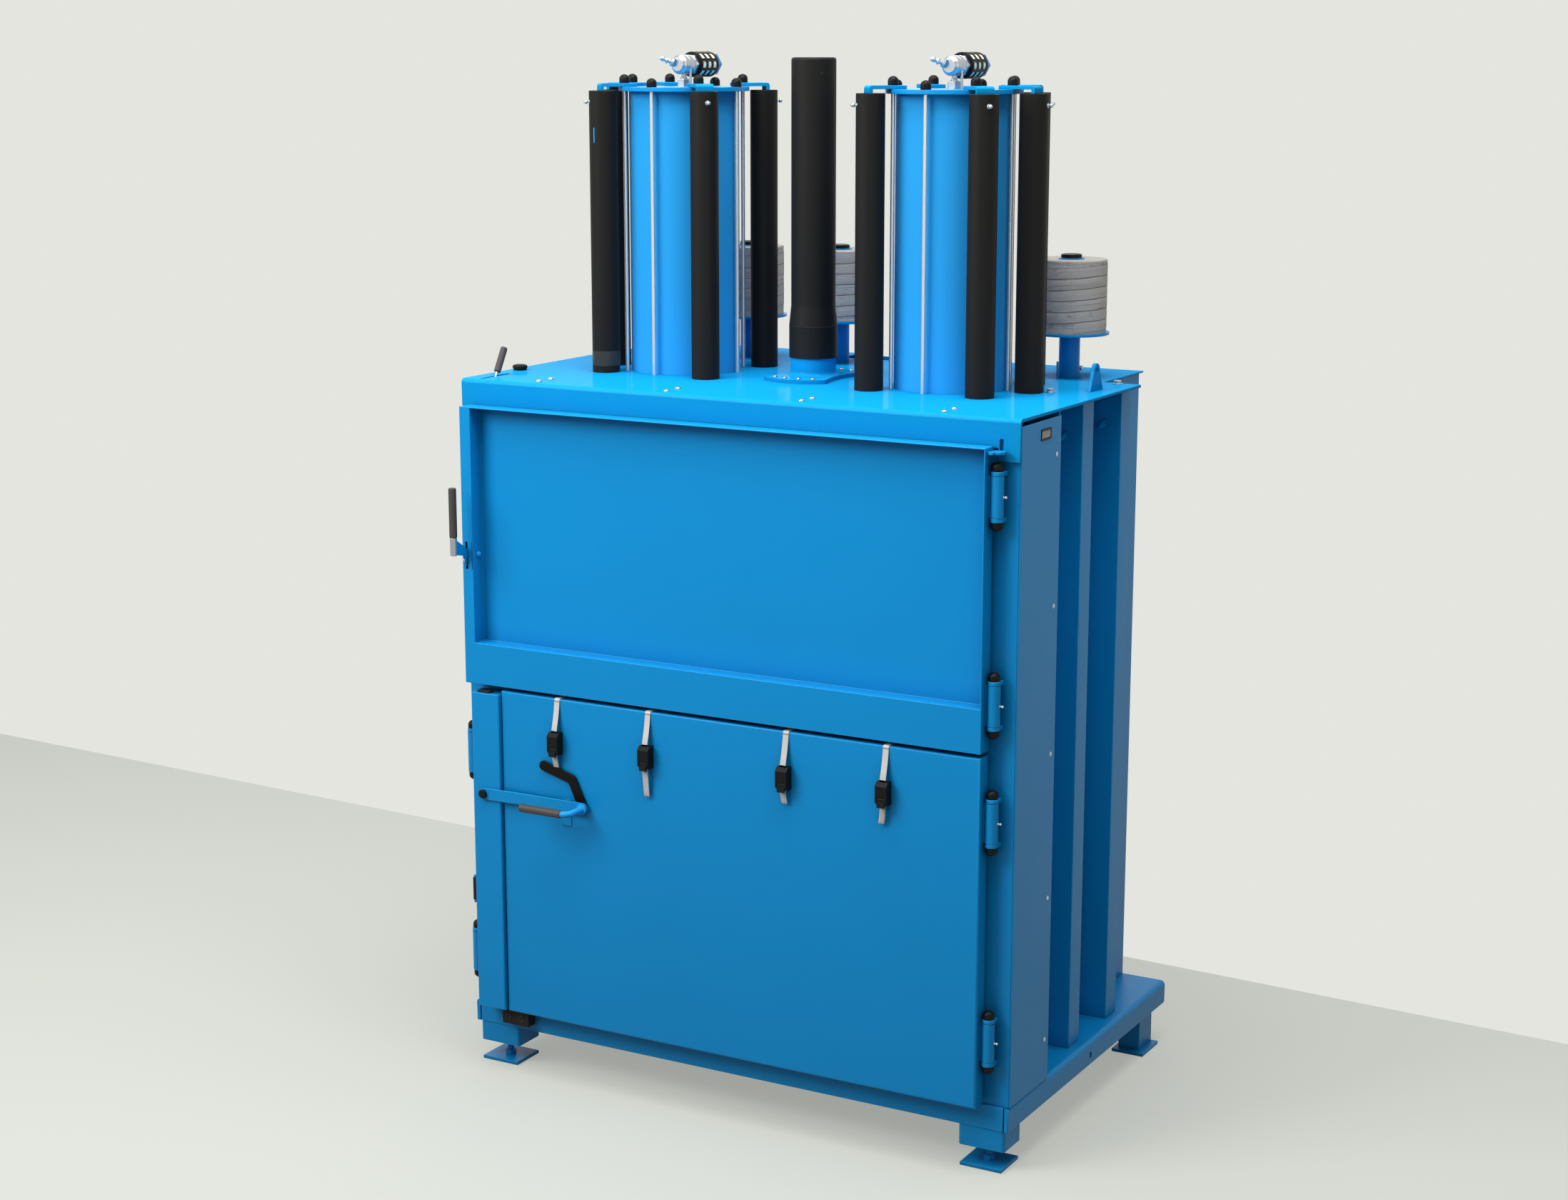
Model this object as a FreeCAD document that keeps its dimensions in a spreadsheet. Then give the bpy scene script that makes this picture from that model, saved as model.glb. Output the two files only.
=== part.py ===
import FreeCAD, Part
import math
import os

import Sketcher
from FreeCAD import Placement, Rotation, Vector

# A pneumatic recycling baler: a sheet-steel chamber on a raised base, an upper loading door
# and a lower bale door hinged on the right, two press cylinders with their return-spring
# tubes on the hood, and four strap reels on the rear deck.
# Millimetres. +X is the machine's right, +Y runs from the front into the machine, +Z is up.
# The origin is on the floor, under the middle of the machine's depth, handles included.

DIMS = {
    # base and feet
    "body_width": 1400,
    "body_depth": 920,
    "foot_height": 96,
    "base_height": 55,
    "base_round": 12,
    "base_joint_inset": 10,
    "base_joint_width": 2.5,
    "base_slot_width": 10,
    "base_slot_height": 14,
    "base_slot_depth": 30,
    "base_slot_rise": 23,
    "base_slot_inset": 456,
    "base_wall": 5,
    "foot_plate_thick": 8,
    "front_plate_width": 99,
    "front_plate_depth": 90,
    "front_foot_inset_x": 64.5,
    "front_foot_inset_y": 46,
    "leg_block_width": 110,
    "leg_block_depth": 88,
    "leg_block_height": 48,
    "leg_block_round": 8,
    "rear_plate_width": 80,
    "rear_plate_depth": 100,
    "rear_plate_inset_y": 37,
    "rear_leg_width": 54,
    "rear_leg_depth": 79,
    "rear_leg_inset_x": 18,
    "spindle_radius": 7.5,
    "spindle_nut_radius": 13.5,
    "spindle_nut_height": 12,
    "thread_clearance": 0.1,
    # hood and rear deck
    "hood_height": 1646,
    "hood_depth": 652,
    "hood_sheet": 7,
    "hood_bend": 10,
    "apron_drop": 63,
    "apron_corner_drop": 90,
    "apron_corner_width": 51,
    "switch_slot_width": 9,
    "switch_slot_low": 81,
    "switch_slot_high": 43,
    "lever_slot_width": 11,
    "lever_slot_length": 114,
    "lever_inset_x": 45.5,
    "lever_inset_y": 57,
    "lever_slot_front": 14,
    "deck_sheet": 4,
    "deck_width": 1200,
    "deck_notch_width": 300,
    "deck_notch_depth": 105,
    # chamber, posts, ribs and covers
    "side_bay": 110,
    "chamber_wall": 6,
    "chamber_rear_inset": 3,
    "post_depth": 201,
    "post_wall": 5,
    "cover_sheet": 3,
    "cover_top_gap": 9,
    "cover_front_gap": 1,
    "rib_height": 82,
    "rib_width": 60,
    "rib_wall": 5,
    "rib_front": 420,
    "rib_rear": 639,
    "ear_reach": 38,
    "ear_height": 17,
    "ear_thick": 5,
    "ear_top_gap": 70,
    "window_front": 103,
    "window_width": 52,
    "window_drop": 58,
    "window_height": 24,
    "window_rim": 4,
    "window_stand": 1.5,
    # hinges
    "hinge_inset": 42,
    "hinge_stand": 18,
    "hinge_radius": 14.5,
    "hinge_pin_radius": 8,
    "hinge_run": 0.06,
    "hinge_barrel_length": 87,
    "hinge_ear_thick": 9,
    "hinge_gap": 0.5,
    "hinge_cap_radius": 13,
    "hinge_cap_height": 19,
    "hinge_cap_skirt": 8,
    "hinge_foot_inset": 7,
    "upper_hinge_inset": 102,
    "lower_hinge_drop": 143,
    "lower_hinge_rise": 148,
    "strip_hinge_inset": 24,
    "strip_hinge_drop": 150,
    "strip_hinge_rise": 128,
    # doors
    "door_stand": 45,
    "door_gap": 6,
    "door_side_gap": 16,
    "door_sheet": 3,
    "upper_door_left": 24,
    "door_split": 9,
    "door_head_gap": 58,
    "upper_stile": 29,
    "upper_rail": 97,
    "lower_door_left": 123,
    "door_floor_gap": 4,
    "lower_door_height": 779,
    "lower_door_bend": 5,
    "cam_radius": 24,
    "cam_tip_radius": 17,
    "cam_thick": 5,
    "cam_below_top": 8,
    # loading door latch
    "latch_inset": 35.5,
    "latch_pivot_rise": 302,
    "latch_pivot_stand": 28,
    "latch_pin_radius": 4,
    "latch_boss_radius": 8,
    "latch_plate": 5,
    "latch_play": 0.5,
    "latch_slot_low": 33,
    "latch_slot_high": 31,
    "latch_reach": 66,
    "latch_hook_drop": 22,
    "latch_sleeve_radius": 6.3,
    "latch_sleeve_length": 42,
    "latch_sleeve_low": 6,
    "latch_grip_radius": 9,
    "latch_grip_length": 115,
    "latch_grip_round": 2,
    # locking strip, bar, arm and handle of the lower door
    "strip_left": 45,
    "strip_width": 77,
    "strip_foot_gap": 3,
    "strip_head_gap": 9,
    "strip_proud": 10,
    "strip_bend": 4,
    "lock_tip_gap": 3,
    "lock_pivot_inset": 350,
    "lock_bolt_inset": 78,
    "lock_bar_height": 28,
    "lock_bar_thick": 5,
    "lock_bar_clear": 0.5,
    "lock_bolt_radius": 9,
    "lock_bolt_height": 7,
    "lock_shaft_radius": 7,
    "lock_shaft_run": 0.06,
    "lock_arm_width": 17,
    "lock_arm_thick": 4.5,
    "lock_arm_clear": 0.5,
    "lock_arm_rise": 65,
    "lock_arm_run": 31,
    "lock_tip_rise": 87,
    "lock_tip_run": 107,
    "lock_boss_radius": 13,
    "lock_boss_thick": 4,
    "lock_rod_radius": 6,
    "lock_rod_bend": 18,
    "lock_rod_reach": 72,
    "lock_grip_radius": 7.75,
    "lock_grip_length": 112,
    "keeper_offset": 60,
    "keeper_width": 24,
    "keeper_drop": 48,
    "keeper_height": 62,
    "keeper_thick": 2.5,
    # strap ends and their cam clamps
    "strap_spread_outer": 421,
    "strap_spread_inner": 177,
    "strap_width": 14.5,
    "strap_thick": 1.6,
    "strap_lay": 0.3,
    "strap_inner_reach": 33,
    "strap_stand": 14,
    "clamp_width": 28,
    "clamp_drop": 128,
    "strap_tail_first": 30,
    "strap_tail_second": 65,
    "strap_tail_third": 31,
    "strap_tail_fourth": 42,
    "clamp_height": 52,
    "clamp_depth": 25,
    "clamp_bevel": 8,
    "clamp_play": 0.6,
    "clamp_pin_radius": 1.5,
    "clamp_pin_rise": 14,
    "clamp_pin_inset": 5,
    "clamp_lever_width": 18,
    "clamp_lever_thick": 4,
    "clamp_lever_reach": 19,
    "clamp_lever_flare": 2.5,
    # small pieces beside the lower door
    "rest_block_left": 94,
    "rest_block_width": 75,
    "rest_block_depth": 28,
    "rest_block_drop": 36,
    "rest_block_height": 35,
    "stop_pad_low": 394,
    "stop_pad_height": 56,
    "stop_pad_width": 14,
    "stop_pad_thick": 9,
    # press cylinders
    "cylinder_spread": 345,
    "cylinder_inset": 405,
    "barrel_radius": 127,
    "barrel_wall": 5,
    "barrel_length": 642.5,
    "head_radius": 151,
    "head_thick": 10,
    "tie_rod_count": 8,
    "tie_rod_circle": 140,
    "tie_rod_radius": 4.5,
    "cap_nut_radius": 13,
    "cap_nut_height": 20,
    "cap_nut_skirt": 9,
    "lug_inner": 115,
    "lug_outer": 200,
    "lug_width": 40,
    "lug_thick": 8,
    # return-spring tubes
    "tube_circle": 191,
    "tube_radius": 32,
    "tube_wall": 3,
    "tube_over": 1.5,
    "tube_pin_radius": 3,
    "tube_pin_drop": 25,
    "tube_pin_stand": 8,
    "tube_ball_radius": 5,
    # air fittings and silencers
    "stem_radius": 16,
    "stem_height": 17,
    "neck_radius": 6,
    "tee_post_radius": 3,
    "tee_post_x": 18,
    "tee_rise": 49.5,
    "tee_radius": 22,
    "tee_front": 29,
    "tee_length": 54,
    "tee_face_radius": 16,
    "tee_face_thick": 5,
    "tee_ring_radius": 24,
    "tee_ring_length": 10,
    "nipple_radius": 6,
    "nipple_length": 45,
    "nipple_collar": 8,
    "silencer_radius": 29,
    "silencer_wall": 4,
    "silencer_length": 75,
    "silencer_window": 15,
    "silencer_window_pitch": 23,
    "silencer_window_first": 13,
    "silencer_rows": 8,
    "silencer_row_width": 16,
    "silencer_play": 0.1,
    "silencer_cap_radius": 27,
    "silencer_cap_length": 19,
    # guide column
    "guide_inset": 398,
    "guide_radius": 40,
    "guide_run": 0.06,
    "guide_clear": 1,
    "guide_flange_radius": 118,
    "guide_flange_thick": 9,
    "guide_waist_radius": 281,
    "guide_neck_radius": 52,
    "guide_neck_height": 49,
    "guide_neck_fillet": 10,
    "sleeve_height": 719,
    "sleeve_radius": 50.5,
    "sleeve_foot_radius": 55,
    "sleeve_foot_height": 121,
    "sleeve_taper_height": 166,
    "sleeve_wall": 6.5,
    "sleeve_edge": 6,
    # press platen
    "platen_side_gap": 14,
    "platen_end_gap": 25,
    "platen_plate": 12,
    "platen_drop": 94,
    "platen_rib": 50,
    "platen_rib_thick": 10,
    "platen_rib_margin": 60,
    "platen_rim_inset": 30,
    "press_rod_radius": 25,
    "press_rod_run": 0.1,
    "piston_thick": 30,
    "piston_top_gap": 15,
    "piston_run": 0.1,
    "guide_top_gap": 80,
    # strap reels
    "reel_first_x": -353,
    "reel_second_x": -105,
    "reel_third_x": 247,
    "reel_fourth_x": 495,
    "reel_inset": 721,
    "reel_post_radius": 24,
    "reel_post_height": 100,
    "reel_plate_radius": 90,
    "reel_plate_thick": 6,
    "reel_spindle_radius": 20,
    "reel_bore_clear": 0.3,
    "reel_lift": 0.3,
    "reel_band_radius": 83.2,
    "reel_height": 165,
    "reel_cap_radius": 24,
    "reel_disc_radius": 30,
    "reel_disc_thick": 2,
    "reel_cap_height": 13,
    "reel_cap_edge": 3,
    "band_pitch": 25,
    "band_width": 24.3,
    "band_thick": 1.4,
    "band_turns": 5.5,
    "band_lay": 0.3,
    # valve on the rear deck
    "valve_side": 148,
    "valve_inset": 800,
    "valve_width": 36,
    "valve_depth": 30,
    "valve_height": 26,
    "valve_round": 4,
    "valve_knob_radius": 11,
    "valve_knob_height": 18,
    "valve_stem_radius": 4,
    "valve_stem_height": 8,
    "valve_port_radius": 9,
    "valve_port_length": 24,
    "valve_hose_radius": 6,
    # lifting lugs, hood bolts, lever and button
    "lifting_lug_side": 50,
    "lifting_lug_inset": 506,
    "lifting_lug_length": 72,
    "lifting_lug_height": 60,
    "lifting_lug_thick": 8,
    "lifting_lug_round": 16,
    "lifting_lug_hole": 9,
    "hood_bolt_outer": 510,
    "hood_bolt_inner": 170,
    "hood_bolt_front": 35,
    "hood_bolt_rear": 83,
    "hood_bolt_radius": 7,
    "hood_bolt_height": 4,
    "hex_bolt_radius": 9,
    "hex_bolt_height": 6,
    "washer_radius": 11,
    "washer_thick": 2,
    "hex_bolt_out": 232,
    "hex_bolt_inset": 428,
    "corner_bolt_side": 50,
    "corner_bolt_inset": 636,
    "lever_radius": 3.5,
    "lever_root": 19,
    "lever_neck": 14,
    "lever_lean": 30,
    "lever_pivot_radius": 7,
    "lever_pin_radius": 3,
    "lever_eye_width": 9,
    "lever_bracket_thick": 6,
    "lever_grip_radius": 8,
    "lever_grip_length": 62,
    "lever_grip_round": 2,
    "button_side": 28,
    "button_inset": 194,
    "button_radius": 17.5,
    "button_height": 9,
    "button_stem_radius": 8,
    "button_stem_clear": 0.3,
    "button_gap": 5,
    "button_stem_length": 16,
}

doc = FreeCAD.newDocument("recycling_baler")
sheet = doc.addObject("Spreadsheet::Sheet", "Dims")
nodes = []


class Size:
    """A length, angle or count: its formula for the sheet and its present value."""

    def __init__(self, formula, value):
        self.formula = formula
        self.value = float(value)

    def joined(self, sign, other, value):
        return Size(f"({self.formula} {sign} {other.formula})", value)

    def __add__(self, other):
        other = size(other)
        return self.joined("+", other, self.value + other.value)

    def __sub__(self, other):
        other = size(other)
        return self.joined("-", other, self.value - other.value)

    def __mul__(self, other):
        other = size(other)
        return self.joined("*", other, self.value * other.value)

    def __truediv__(self, other):
        other = size(other)
        return self.joined("/", other, self.value / other.value)

    def __radd__(self, other):
        return size(other) + self

    def __rsub__(self, other):
        return size(other) - self

    def __rmul__(self, other):
        return size(other) * self

    def __rtruediv__(self, other):
        return size(other) / self

    def __neg__(self):
        return Size(f"(0 - {self.formula})", -self.value)


def size(thing):
    """Let a plain number stand beside the sheet's sizes."""
    if isinstance(thing, Size):
        return thing
    return Size(f"({float(thing)!r})", thing)


def cosine(degrees):
    degrees = size(degrees)
    return Size(f"cos({degrees.formula} * 1 deg)", math.cos(math.radians(degrees.value)))


def sine(degrees):
    degrees = size(degrees)
    return Size(f"sin({degrees.formula} * 1 deg)", math.sin(math.radians(degrees.value)))


def root(area):
    return Size(f"sqrt({area.formula})", math.sqrt(area.value))


class Dimensions:
    """The sheet's cells, read by name."""

    def __init__(self, cells):
        for name, value in cells.items():
            setattr(self, name, Size(f"Dims.{name}", value))


def fill_sheet():
    """Write every driving dimension to its own cell, with its name as the alias."""
    for row, (name, value) in enumerate(DIMS.items(), start=1):
        sheet.set(f"A{row}", name)
        sheet.set(f"B{row}", str(value))
        sheet.setAlias(f"B{row}", name)
    doc.recompute()


fill_sheet()
dim = Dimensions(DIMS)


# ---------------------------------------------------------------- drawing tools

ABOUT_Z = Rotation()
ALONG = {
    "x": Rotation(Vector(0, 1, 0), 90),
    "y": Rotation(Vector(1, 0, 0), -90),
    "z": ABOUT_Z,
}


def bind(thing, name, length):
    """Tie one property of an object to the sheet."""
    thing.setExpression(name, size(length).formula)


def place(thing, at, turn=ABOUT_Z):
    """Turn an object and tie its position to the sheet."""
    thing.Placement = Placement(Vector(*(size(part).value for part in at)), turn)
    for axis, part in zip("xyz", at):
        bind(thing, f"Placement.Base.{axis}", part)


def block(name, x, y, z):
    """A box between two planes on each axis."""
    box = doc.addObject("Part::Box", name)
    for side, (low, high) in zip(("Length", "Width", "Height"), (x, y, z)):
        bind(box, side, size(high) - low)
    place(box, (x[0], y[0], z[0]))
    return box


def drum(name, radius, length, at, along="z"):
    """A plain cylinder that starts at a point and runs along an axis."""
    cylinder = doc.addObject("Part::Cylinder", name)
    bind(cylinder, "Radius", radius)
    bind(cylinder, "Height", length)
    place(cylinder, at, ALONG[along])
    return cylinder


def cut(name, base, *tools):
    """Take one or more shapes away from another."""
    removed = doc.addObject("Part::Cut", name)
    removed.Base = base
    removed.Tool = tools[0] if len(tools) == 1 else fuse(name + "_tools", *tools)
    return removed


def fuse(name, *shapes):
    union = doc.addObject("Part::MultiFuse", name)
    union.Shapes = list(shapes)
    return union


def group(name, *shapes):
    """Several separate solids that share one node."""
    compound = doc.addObject("Part::Compound", name)
    compound.Links = list(shapes)
    return compound


def mirrored(name, source):
    """The other hand of a piece, across the machine's middle plane."""
    twin = doc.addObject("Part::Mirroring", name)
    twin.Source = source
    twin.Normal = (1, 0, 0)
    return twin


def both_sides(name, piece):
    return group(name, piece, mirrored(name + "_twin", piece))


def copy(source, at, degrees=0.0):
    """A further copy of a piece at another place, turned about the vertical."""
    link = doc.addObject("App::Link", source.Name + "_copy")
    link.LinkedObject = source
    turn = Rotation(Vector(0, 0, 1), degrees)
    link.LinkPlacement = Placement(Vector(*(size(part).value for part in at)), turn)
    for axis, part in zip("xyz", at):
        bind(link, f"LinkPlacement.Base.{axis}", part)
    return link


def node(name, piece):
    """Name a finished sub-part."""
    piece.Label = name
    nodes.append(piece)
    return piece


def origin_part(body, role):
    """An axis or a plane of a body's own origin."""
    return [item for item in body.Origin.OriginFeatures if item.Role == role][0]


def sketch_on(body, role):
    """A sketch on one of a body's own origin planes."""
    sketch = body.newObject("Sketcher::SketchObject", body.Name + "_sketch")
    sketch.AttachmentSupport = (origin_part(body, role), [""])
    sketch.MapMode = "FlatFace"
    return sketch


def arc_between(start, end, radius):
    """The short arc from start to end; it turns left where the radius is positive."""
    chord = end - start
    half = chord.Length / 2
    rise = math.sqrt(max(radius * radius - half * half, 0.0))
    left = Vector(-chord.y, chord.x, 0).normalize()
    side = 1 if radius > 0 else -1
    centre = (start + end) * 0.5 + left * (rise * side)
    first, last = (start, end) if radius > 0 else (end, start)
    circle = Part.Circle(centre, Vector(0, 0, 1), abs(radius))
    return Part.ArcOfCircle(circle, circle.parameter(first), circle.parameter(last))


def outline(sketch, corners):
    """Draw a closed outline whose corners are tied to the sheet.

    A corner is (u, v), or (u, v, radius) where an arc of that radius leads to it.
    """
    corners = [tuple(size(part) for part in corner) for corner in corners]
    spots = [Vector(corner[0].value, corner[1].value, 0) for corner in corners]
    joints = []
    for index, corner in enumerate(corners):
        start, end = spots[index - 1], spots[index]
        first, last = 1, 2
        if len(corner) == 3:
            number = sketch.addGeometry(arc_between(start, end, corner[2].value), False)
            if corner[2].value < 0:
                first, last = 2, 1
        else:
            number = sketch.addGeometry(Part.LineSegment(start, end), False)
        joints.append((number, first, last))
    for index, (number, first, _) in enumerate(joints):
        before = joints[index - 1]
        sketch.addConstraint(Sketcher.Constraint("Coincident", before[0], before[2], number, first))
    for corner, (number, _, last) in zip(corners, joints):
        tie(sketch, "DistanceX", number, last, corner[0])
        tie(sketch, "DistanceY", number, last, corner[1])
        if len(corner) == 3:
            radius = corner[2] if corner[2].value > 0 else -corner[2]
            index = sketch.addConstraint(Sketcher.Constraint("Radius", number, radius.value))
            bind(sketch, f"Constraints[{index}]", radius)


def tie(sketch, kind, number, point, length):
    """Hold a sketch point at a distance from the sketch's origin."""
    index = sketch.addConstraint(Sketcher.Constraint(kind, -1, 1, number, point, length.value))
    bind(sketch, f"Constraints[{index}]", length)


def hole_in(sketch, centre, radius):
    """A round hole in an outline."""
    u, v, radius = (size(part) for part in (*centre, radius))
    circle = Part.Circle(Vector(u.value, v.value, 0), Vector(0, 0, 1), radius.value)
    number = sketch.addGeometry(circle, False)
    tie(sketch, "DistanceX", number, 3, u)
    tie(sketch, "DistanceY", number, 3, v)
    index = sketch.addConstraint(Sketcher.Constraint("Radius", number, radius.value))
    bind(sketch, f"Constraints[{index}]", radius)


def profile(name, role, corners, length, at=(0, 0, 0), holes=()):
    """A plate or bar: an outline on one of the origin planes, given a thickness."""
    body = doc.addObject("PartDesign::Body", name)
    sketch = sketch_on(body, role)
    outline(sketch, corners)
    for u, v, radius in holes:
        hole_in(sketch, (u, v), radius)
    pad = body.newObject("PartDesign::Pad", name + "_pad")
    pad.Profile = sketch
    bind(pad, "Length", length)
    sketch.Visibility = False
    place(body, at)
    return body


def turned(name, corners, at=(0, 0, 0), turn=ABOUT_Z):
    """A turned piece: its (radius, height) outline spun about the body's Z axis."""
    body = doc.addObject("PartDesign::Body", name)
    sketch = sketch_on(body, "XZ_Plane")
    outline(sketch, corners)
    spin = body.newObject("PartDesign::Revolution", name + "_spin")
    spin.Profile = sketch
    spin.ReferenceAxis = (sketch, ["V_Axis"])
    spin.Angle = 360
    sketch.Visibility = False
    place(body, at, turn)
    return body


def soften(body, feature, radius, wanted):
    """Round those edges of a feature that a test picks out."""
    doc.recompute()
    edges = enumerate(feature.Shape.Edges, start=1)
    names = [f"Edge{number}" for number, edge in edges if wanted(edge.BoundBox)]
    fillet = body.newObject("PartDesign::Fillet", body.Name + "_fillet")
    fillet.Base = (feature, names)
    bind(fillet, "Radius", radius)
    body.Tip = fillet
    return fillet


def hollow(body, role, corners, depth):
    """Pocket an outline into a body, on the side where the metal is."""
    doc.recompute()
    before = body.Shape.Volume
    sketch = sketch_on(body, role)
    outline(sketch, corners)
    pocket = body.newObject("PartDesign::Pocket", body.Name + "_pocket")
    pocket.Profile = sketch
    bind(pocket, "Length", depth)
    pocket.Reversed = True
    body.Tip = pocket
    sketch.Visibility = False
    doc.recompute()
    if body.Shape.Volume >= before:
        raise ValueError(body.Name + ": the pocket removes nothing")
    return pocket


def rectangle(left, right, low, high):
    return [(left, low), (right, low), (right, high), (left, high)]


def rounded_rectangle(left, right, low, high, radius):
    left, right, low, high = (size(part) for part in (left, right, low, high))
    return [
        (left + radius, low, radius), (right - radius, low), (right, low + radius, radius),
        (right, high - radius), (right - radius, high, radius), (left + radius, high),
        (left, high - radius, radius), (left, low + radius),
    ]


def hexagon(radius):
    """Corners of a hexagon about the origin, with a point on the +U axis."""
    return [(radius * cosine(60 * side), radius * sine(60 * side)) for side in range(6)]


CROWN_FLAT = 0.45


def domed_cap(name, radius, skirt, height):
    """A round cap: a straight skirt under a bevelled crown."""
    flat = radius * CROWN_FLAT
    return turned(name, [(0, 0), (radius, 0), (radius, skirt), (flat, height), (0, height)])


# ---------------------------------------------------------------- shared places

HALF = dim.body_width / 2
REACH = dim.door_stand + dim.lock_rod_reach + dim.lock_grip_radius
FRONT = (REACH - dim.body_depth) / 2
BACK = FRONT + dim.body_depth
BASE_TOP = dim.foot_height + dim.base_height
HOOD_UNDER = dim.hood_height - dim.hood_sheet
HOOD_REAR = FRONT + dim.hood_depth
DECK_TOP = HOOD_UNDER + dim.deck_sheet
WALL_OUT = HALF - dim.side_bay
POST_FRONT = FRONT + dim.hood_sheet
POST_REAR = POST_FRONT + dim.post_depth
COVER_IN = HALF - dim.cover_sheet
LOWER_LOW = BASE_TOP + dim.door_floor_gap
LOWER_HIGH = LOWER_LOW + dim.lower_door_height
UPPER_LOW = LOWER_HIGH + dim.door_split
UPPER_HIGH = dim.hood_height - dim.door_head_gap
STRIP_LOW = LOWER_LOW + dim.strip_foot_gap
STRIP_HIGH = LOWER_HIGH - dim.strip_head_gap
CYLINDER_Y = FRONT + dim.cylinder_inset
HEAD_LOW = dim.hood_height + dim.barrel_length
HEAD_TOP = HEAD_LOW + dim.head_thick
GUIDE_Y = FRONT + dim.guide_inset
HINGE_X = HALF - dim.hinge_inset
HINGE_Y = FRONT - dim.hinge_stand
STRIP_HINGE_X = -HALF + dim.strip_hinge_inset
DOOR_FRONT = FRONT - dim.door_stand
DOOR_BACK = FRONT - dim.door_gap
DOOR_RIGHT = HINGE_X - dim.door_side_gap
LOWER_LEFT = -HALF + dim.lower_door_left
LATCH_X = -HALF + dim.latch_inset
LATCH_Y = FRONT - dim.latch_pivot_stand
LATCH_Z = UPPER_LOW + dim.latch_pivot_rise
REEL_Y = FRONT + dim.reel_inset
REEL_XS = (dim.reel_first_x, dim.reel_second_x, dim.reel_third_x, dim.reel_fourth_x)
REEL_LOW = DECK_TOP + dim.reel_post_height + dim.reel_plate_thick + dim.reel_lift
LEVER_X = -HALF + dim.lever_inset_x
LEVER_Y = FRONT + dim.lever_inset_y
LEVER_Z = HOOD_UNDER - dim.lever_root
LOCK_X = -HALF + dim.lock_pivot_inset
BOLT_X = -HALF + dim.lock_bolt_inset
STRAP_TAILS = (
    dim.strap_tail_first, dim.strap_tail_second, dim.strap_tail_third,
    dim.strap_tail_fourth,
)
CLAMP_LOW = LOWER_HIGH - dim.clamp_drop
LOCK_Z = CLAMP_LOW - STRAP_TAILS[0] - dim.lock_tip_gap - dim.lock_tip_rise
OVER = 1
ROD_STEP = 360 / DIMS["tie_rod_count"]
LUG_ANGLES = (0, 45, 135, 225, 315)


def around(x, y, radius, degrees):
    """A point on a circle about a vertical axis."""
    return x + radius * cosine(degrees), y + radius * sine(degrees)


# ---------------------------------------------------------------- base and feet

def build_base():
    """The base box: rounded along its top sides, jointed at its front corners."""
    low, top, bend = dim.foot_height, BASE_TOP, dim.base_round
    section = [
        (-HALF, low), (HALF, low), (HALF, top - bend), (HALF - bend, top, bend),
        (-HALF + bend, top), (-HALF, top - bend, bend),
    ]
    box = profile("base_box", "XZ_Plane", section, dim.body_depth, (0, BACK, 0))
    wall = dim.base_wall
    inside = block(
        "base_inside", (wall - HALF, HALF - wall), (FRONT + wall, BACK - wall), (low + wall, top - wall),
    )
    middle = dim.foot_height + dim.base_slot_rise
    across = FRONT + dim.base_slot_inset
    slot_y = dim.base_slot_width / 2
    slot_z = dim.base_slot_height / 2
    slot = block(
        "base_slot", (HALF - dim.base_slot_depth, HALF + OVER),
        (across - slot_y, across + slot_y), (middle - slot_z, middle + slot_z),
    )
    seam_x = HALF - dim.base_joint_inset
    seam = block(
        "base_seam", (seam_x - dim.base_joint_width, seam_x),
        (FRONT - OVER, FRONT + dim.base_joint_inset), (low - OVER, top + OVER),
    )
    cuts = [inside, slot, seam, mirrored("slot_twin", slot), mirrored("seam_twin", seam)]
    node("base_frame", cut("base_cut", box, *cuts))


def build_feet():
    """Leg blocks, levelling spindles and floor plates."""
    foot_x = HALF - dim.front_foot_inset_x
    foot_y = FRONT + dim.front_foot_inset_y
    half_w, half_d = dim.leg_block_width / 2, dim.leg_block_depth / 2
    corners = rounded_rectangle(-half_w, half_w, -half_d, half_d, dim.leg_block_round)
    bore = dim.spindle_radius + dim.thread_clearance
    low = dim.foot_height - dim.leg_block_height
    front_leg = profile(
        "front_leg", "XY_Plane", corners, dim.leg_block_height, (foot_x, foot_y, low),
        [(0, 0, bore)],
    )
    leg_right = HALF - dim.rear_leg_inset_x
    plate_low = BACK - dim.rear_plate_inset_y - dim.rear_plate_depth
    plate_rear = plate_low + dim.rear_plate_depth
    rear_leg = block(
        "rear_leg", (leg_right - dim.rear_leg_width, leg_right),
        (plate_rear - dim.rear_leg_depth, plate_rear), (dim.foot_plate_thick, dim.foot_height),
    )
    legs = [front_leg, rear_leg, mirrored("front_leg_twin", front_leg)]
    node("leg_blocks", group("legs", *legs, mirrored("rear_leg_twin", rear_leg)))
    front_plate = block(
        "front_plate", (foot_x - dim.front_plate_width / 2, foot_x + dim.front_plate_width / 2),
        (foot_y - dim.front_plate_depth / 2, foot_y + dim.front_plate_depth / 2),
        (0, dim.foot_plate_thick),
    )
    rear_plate = block(
        "rear_plate", (HALF - dim.rear_plate_width, HALF),
        (plate_low, plate_rear), (0, dim.foot_plate_thick),
    )
    plates = [front_plate, rear_plate, mirrored("front_plate_twin", front_plate)]
    node("foot_plates", group("plates", *plates, mirrored("rear_plate_twin", rear_plate)))
    nut = profile(
        "foot_nut", "XY_Plane", hexagon(dim.spindle_nut_radius), dim.spindle_nut_height,
        (foot_x, foot_y, dim.foot_plate_thick),
    )
    stem = drum(
        "foot_stem", dim.spindle_radius, dim.foot_height - dim.foot_plate_thick,
        (foot_x, foot_y, dim.foot_plate_thick),
    )
    node("foot_spindles", both_sides("spindles", fuse("foot_spindle", nut, stem)))


# ---------------------------------------------------------------- hood and deck

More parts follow.
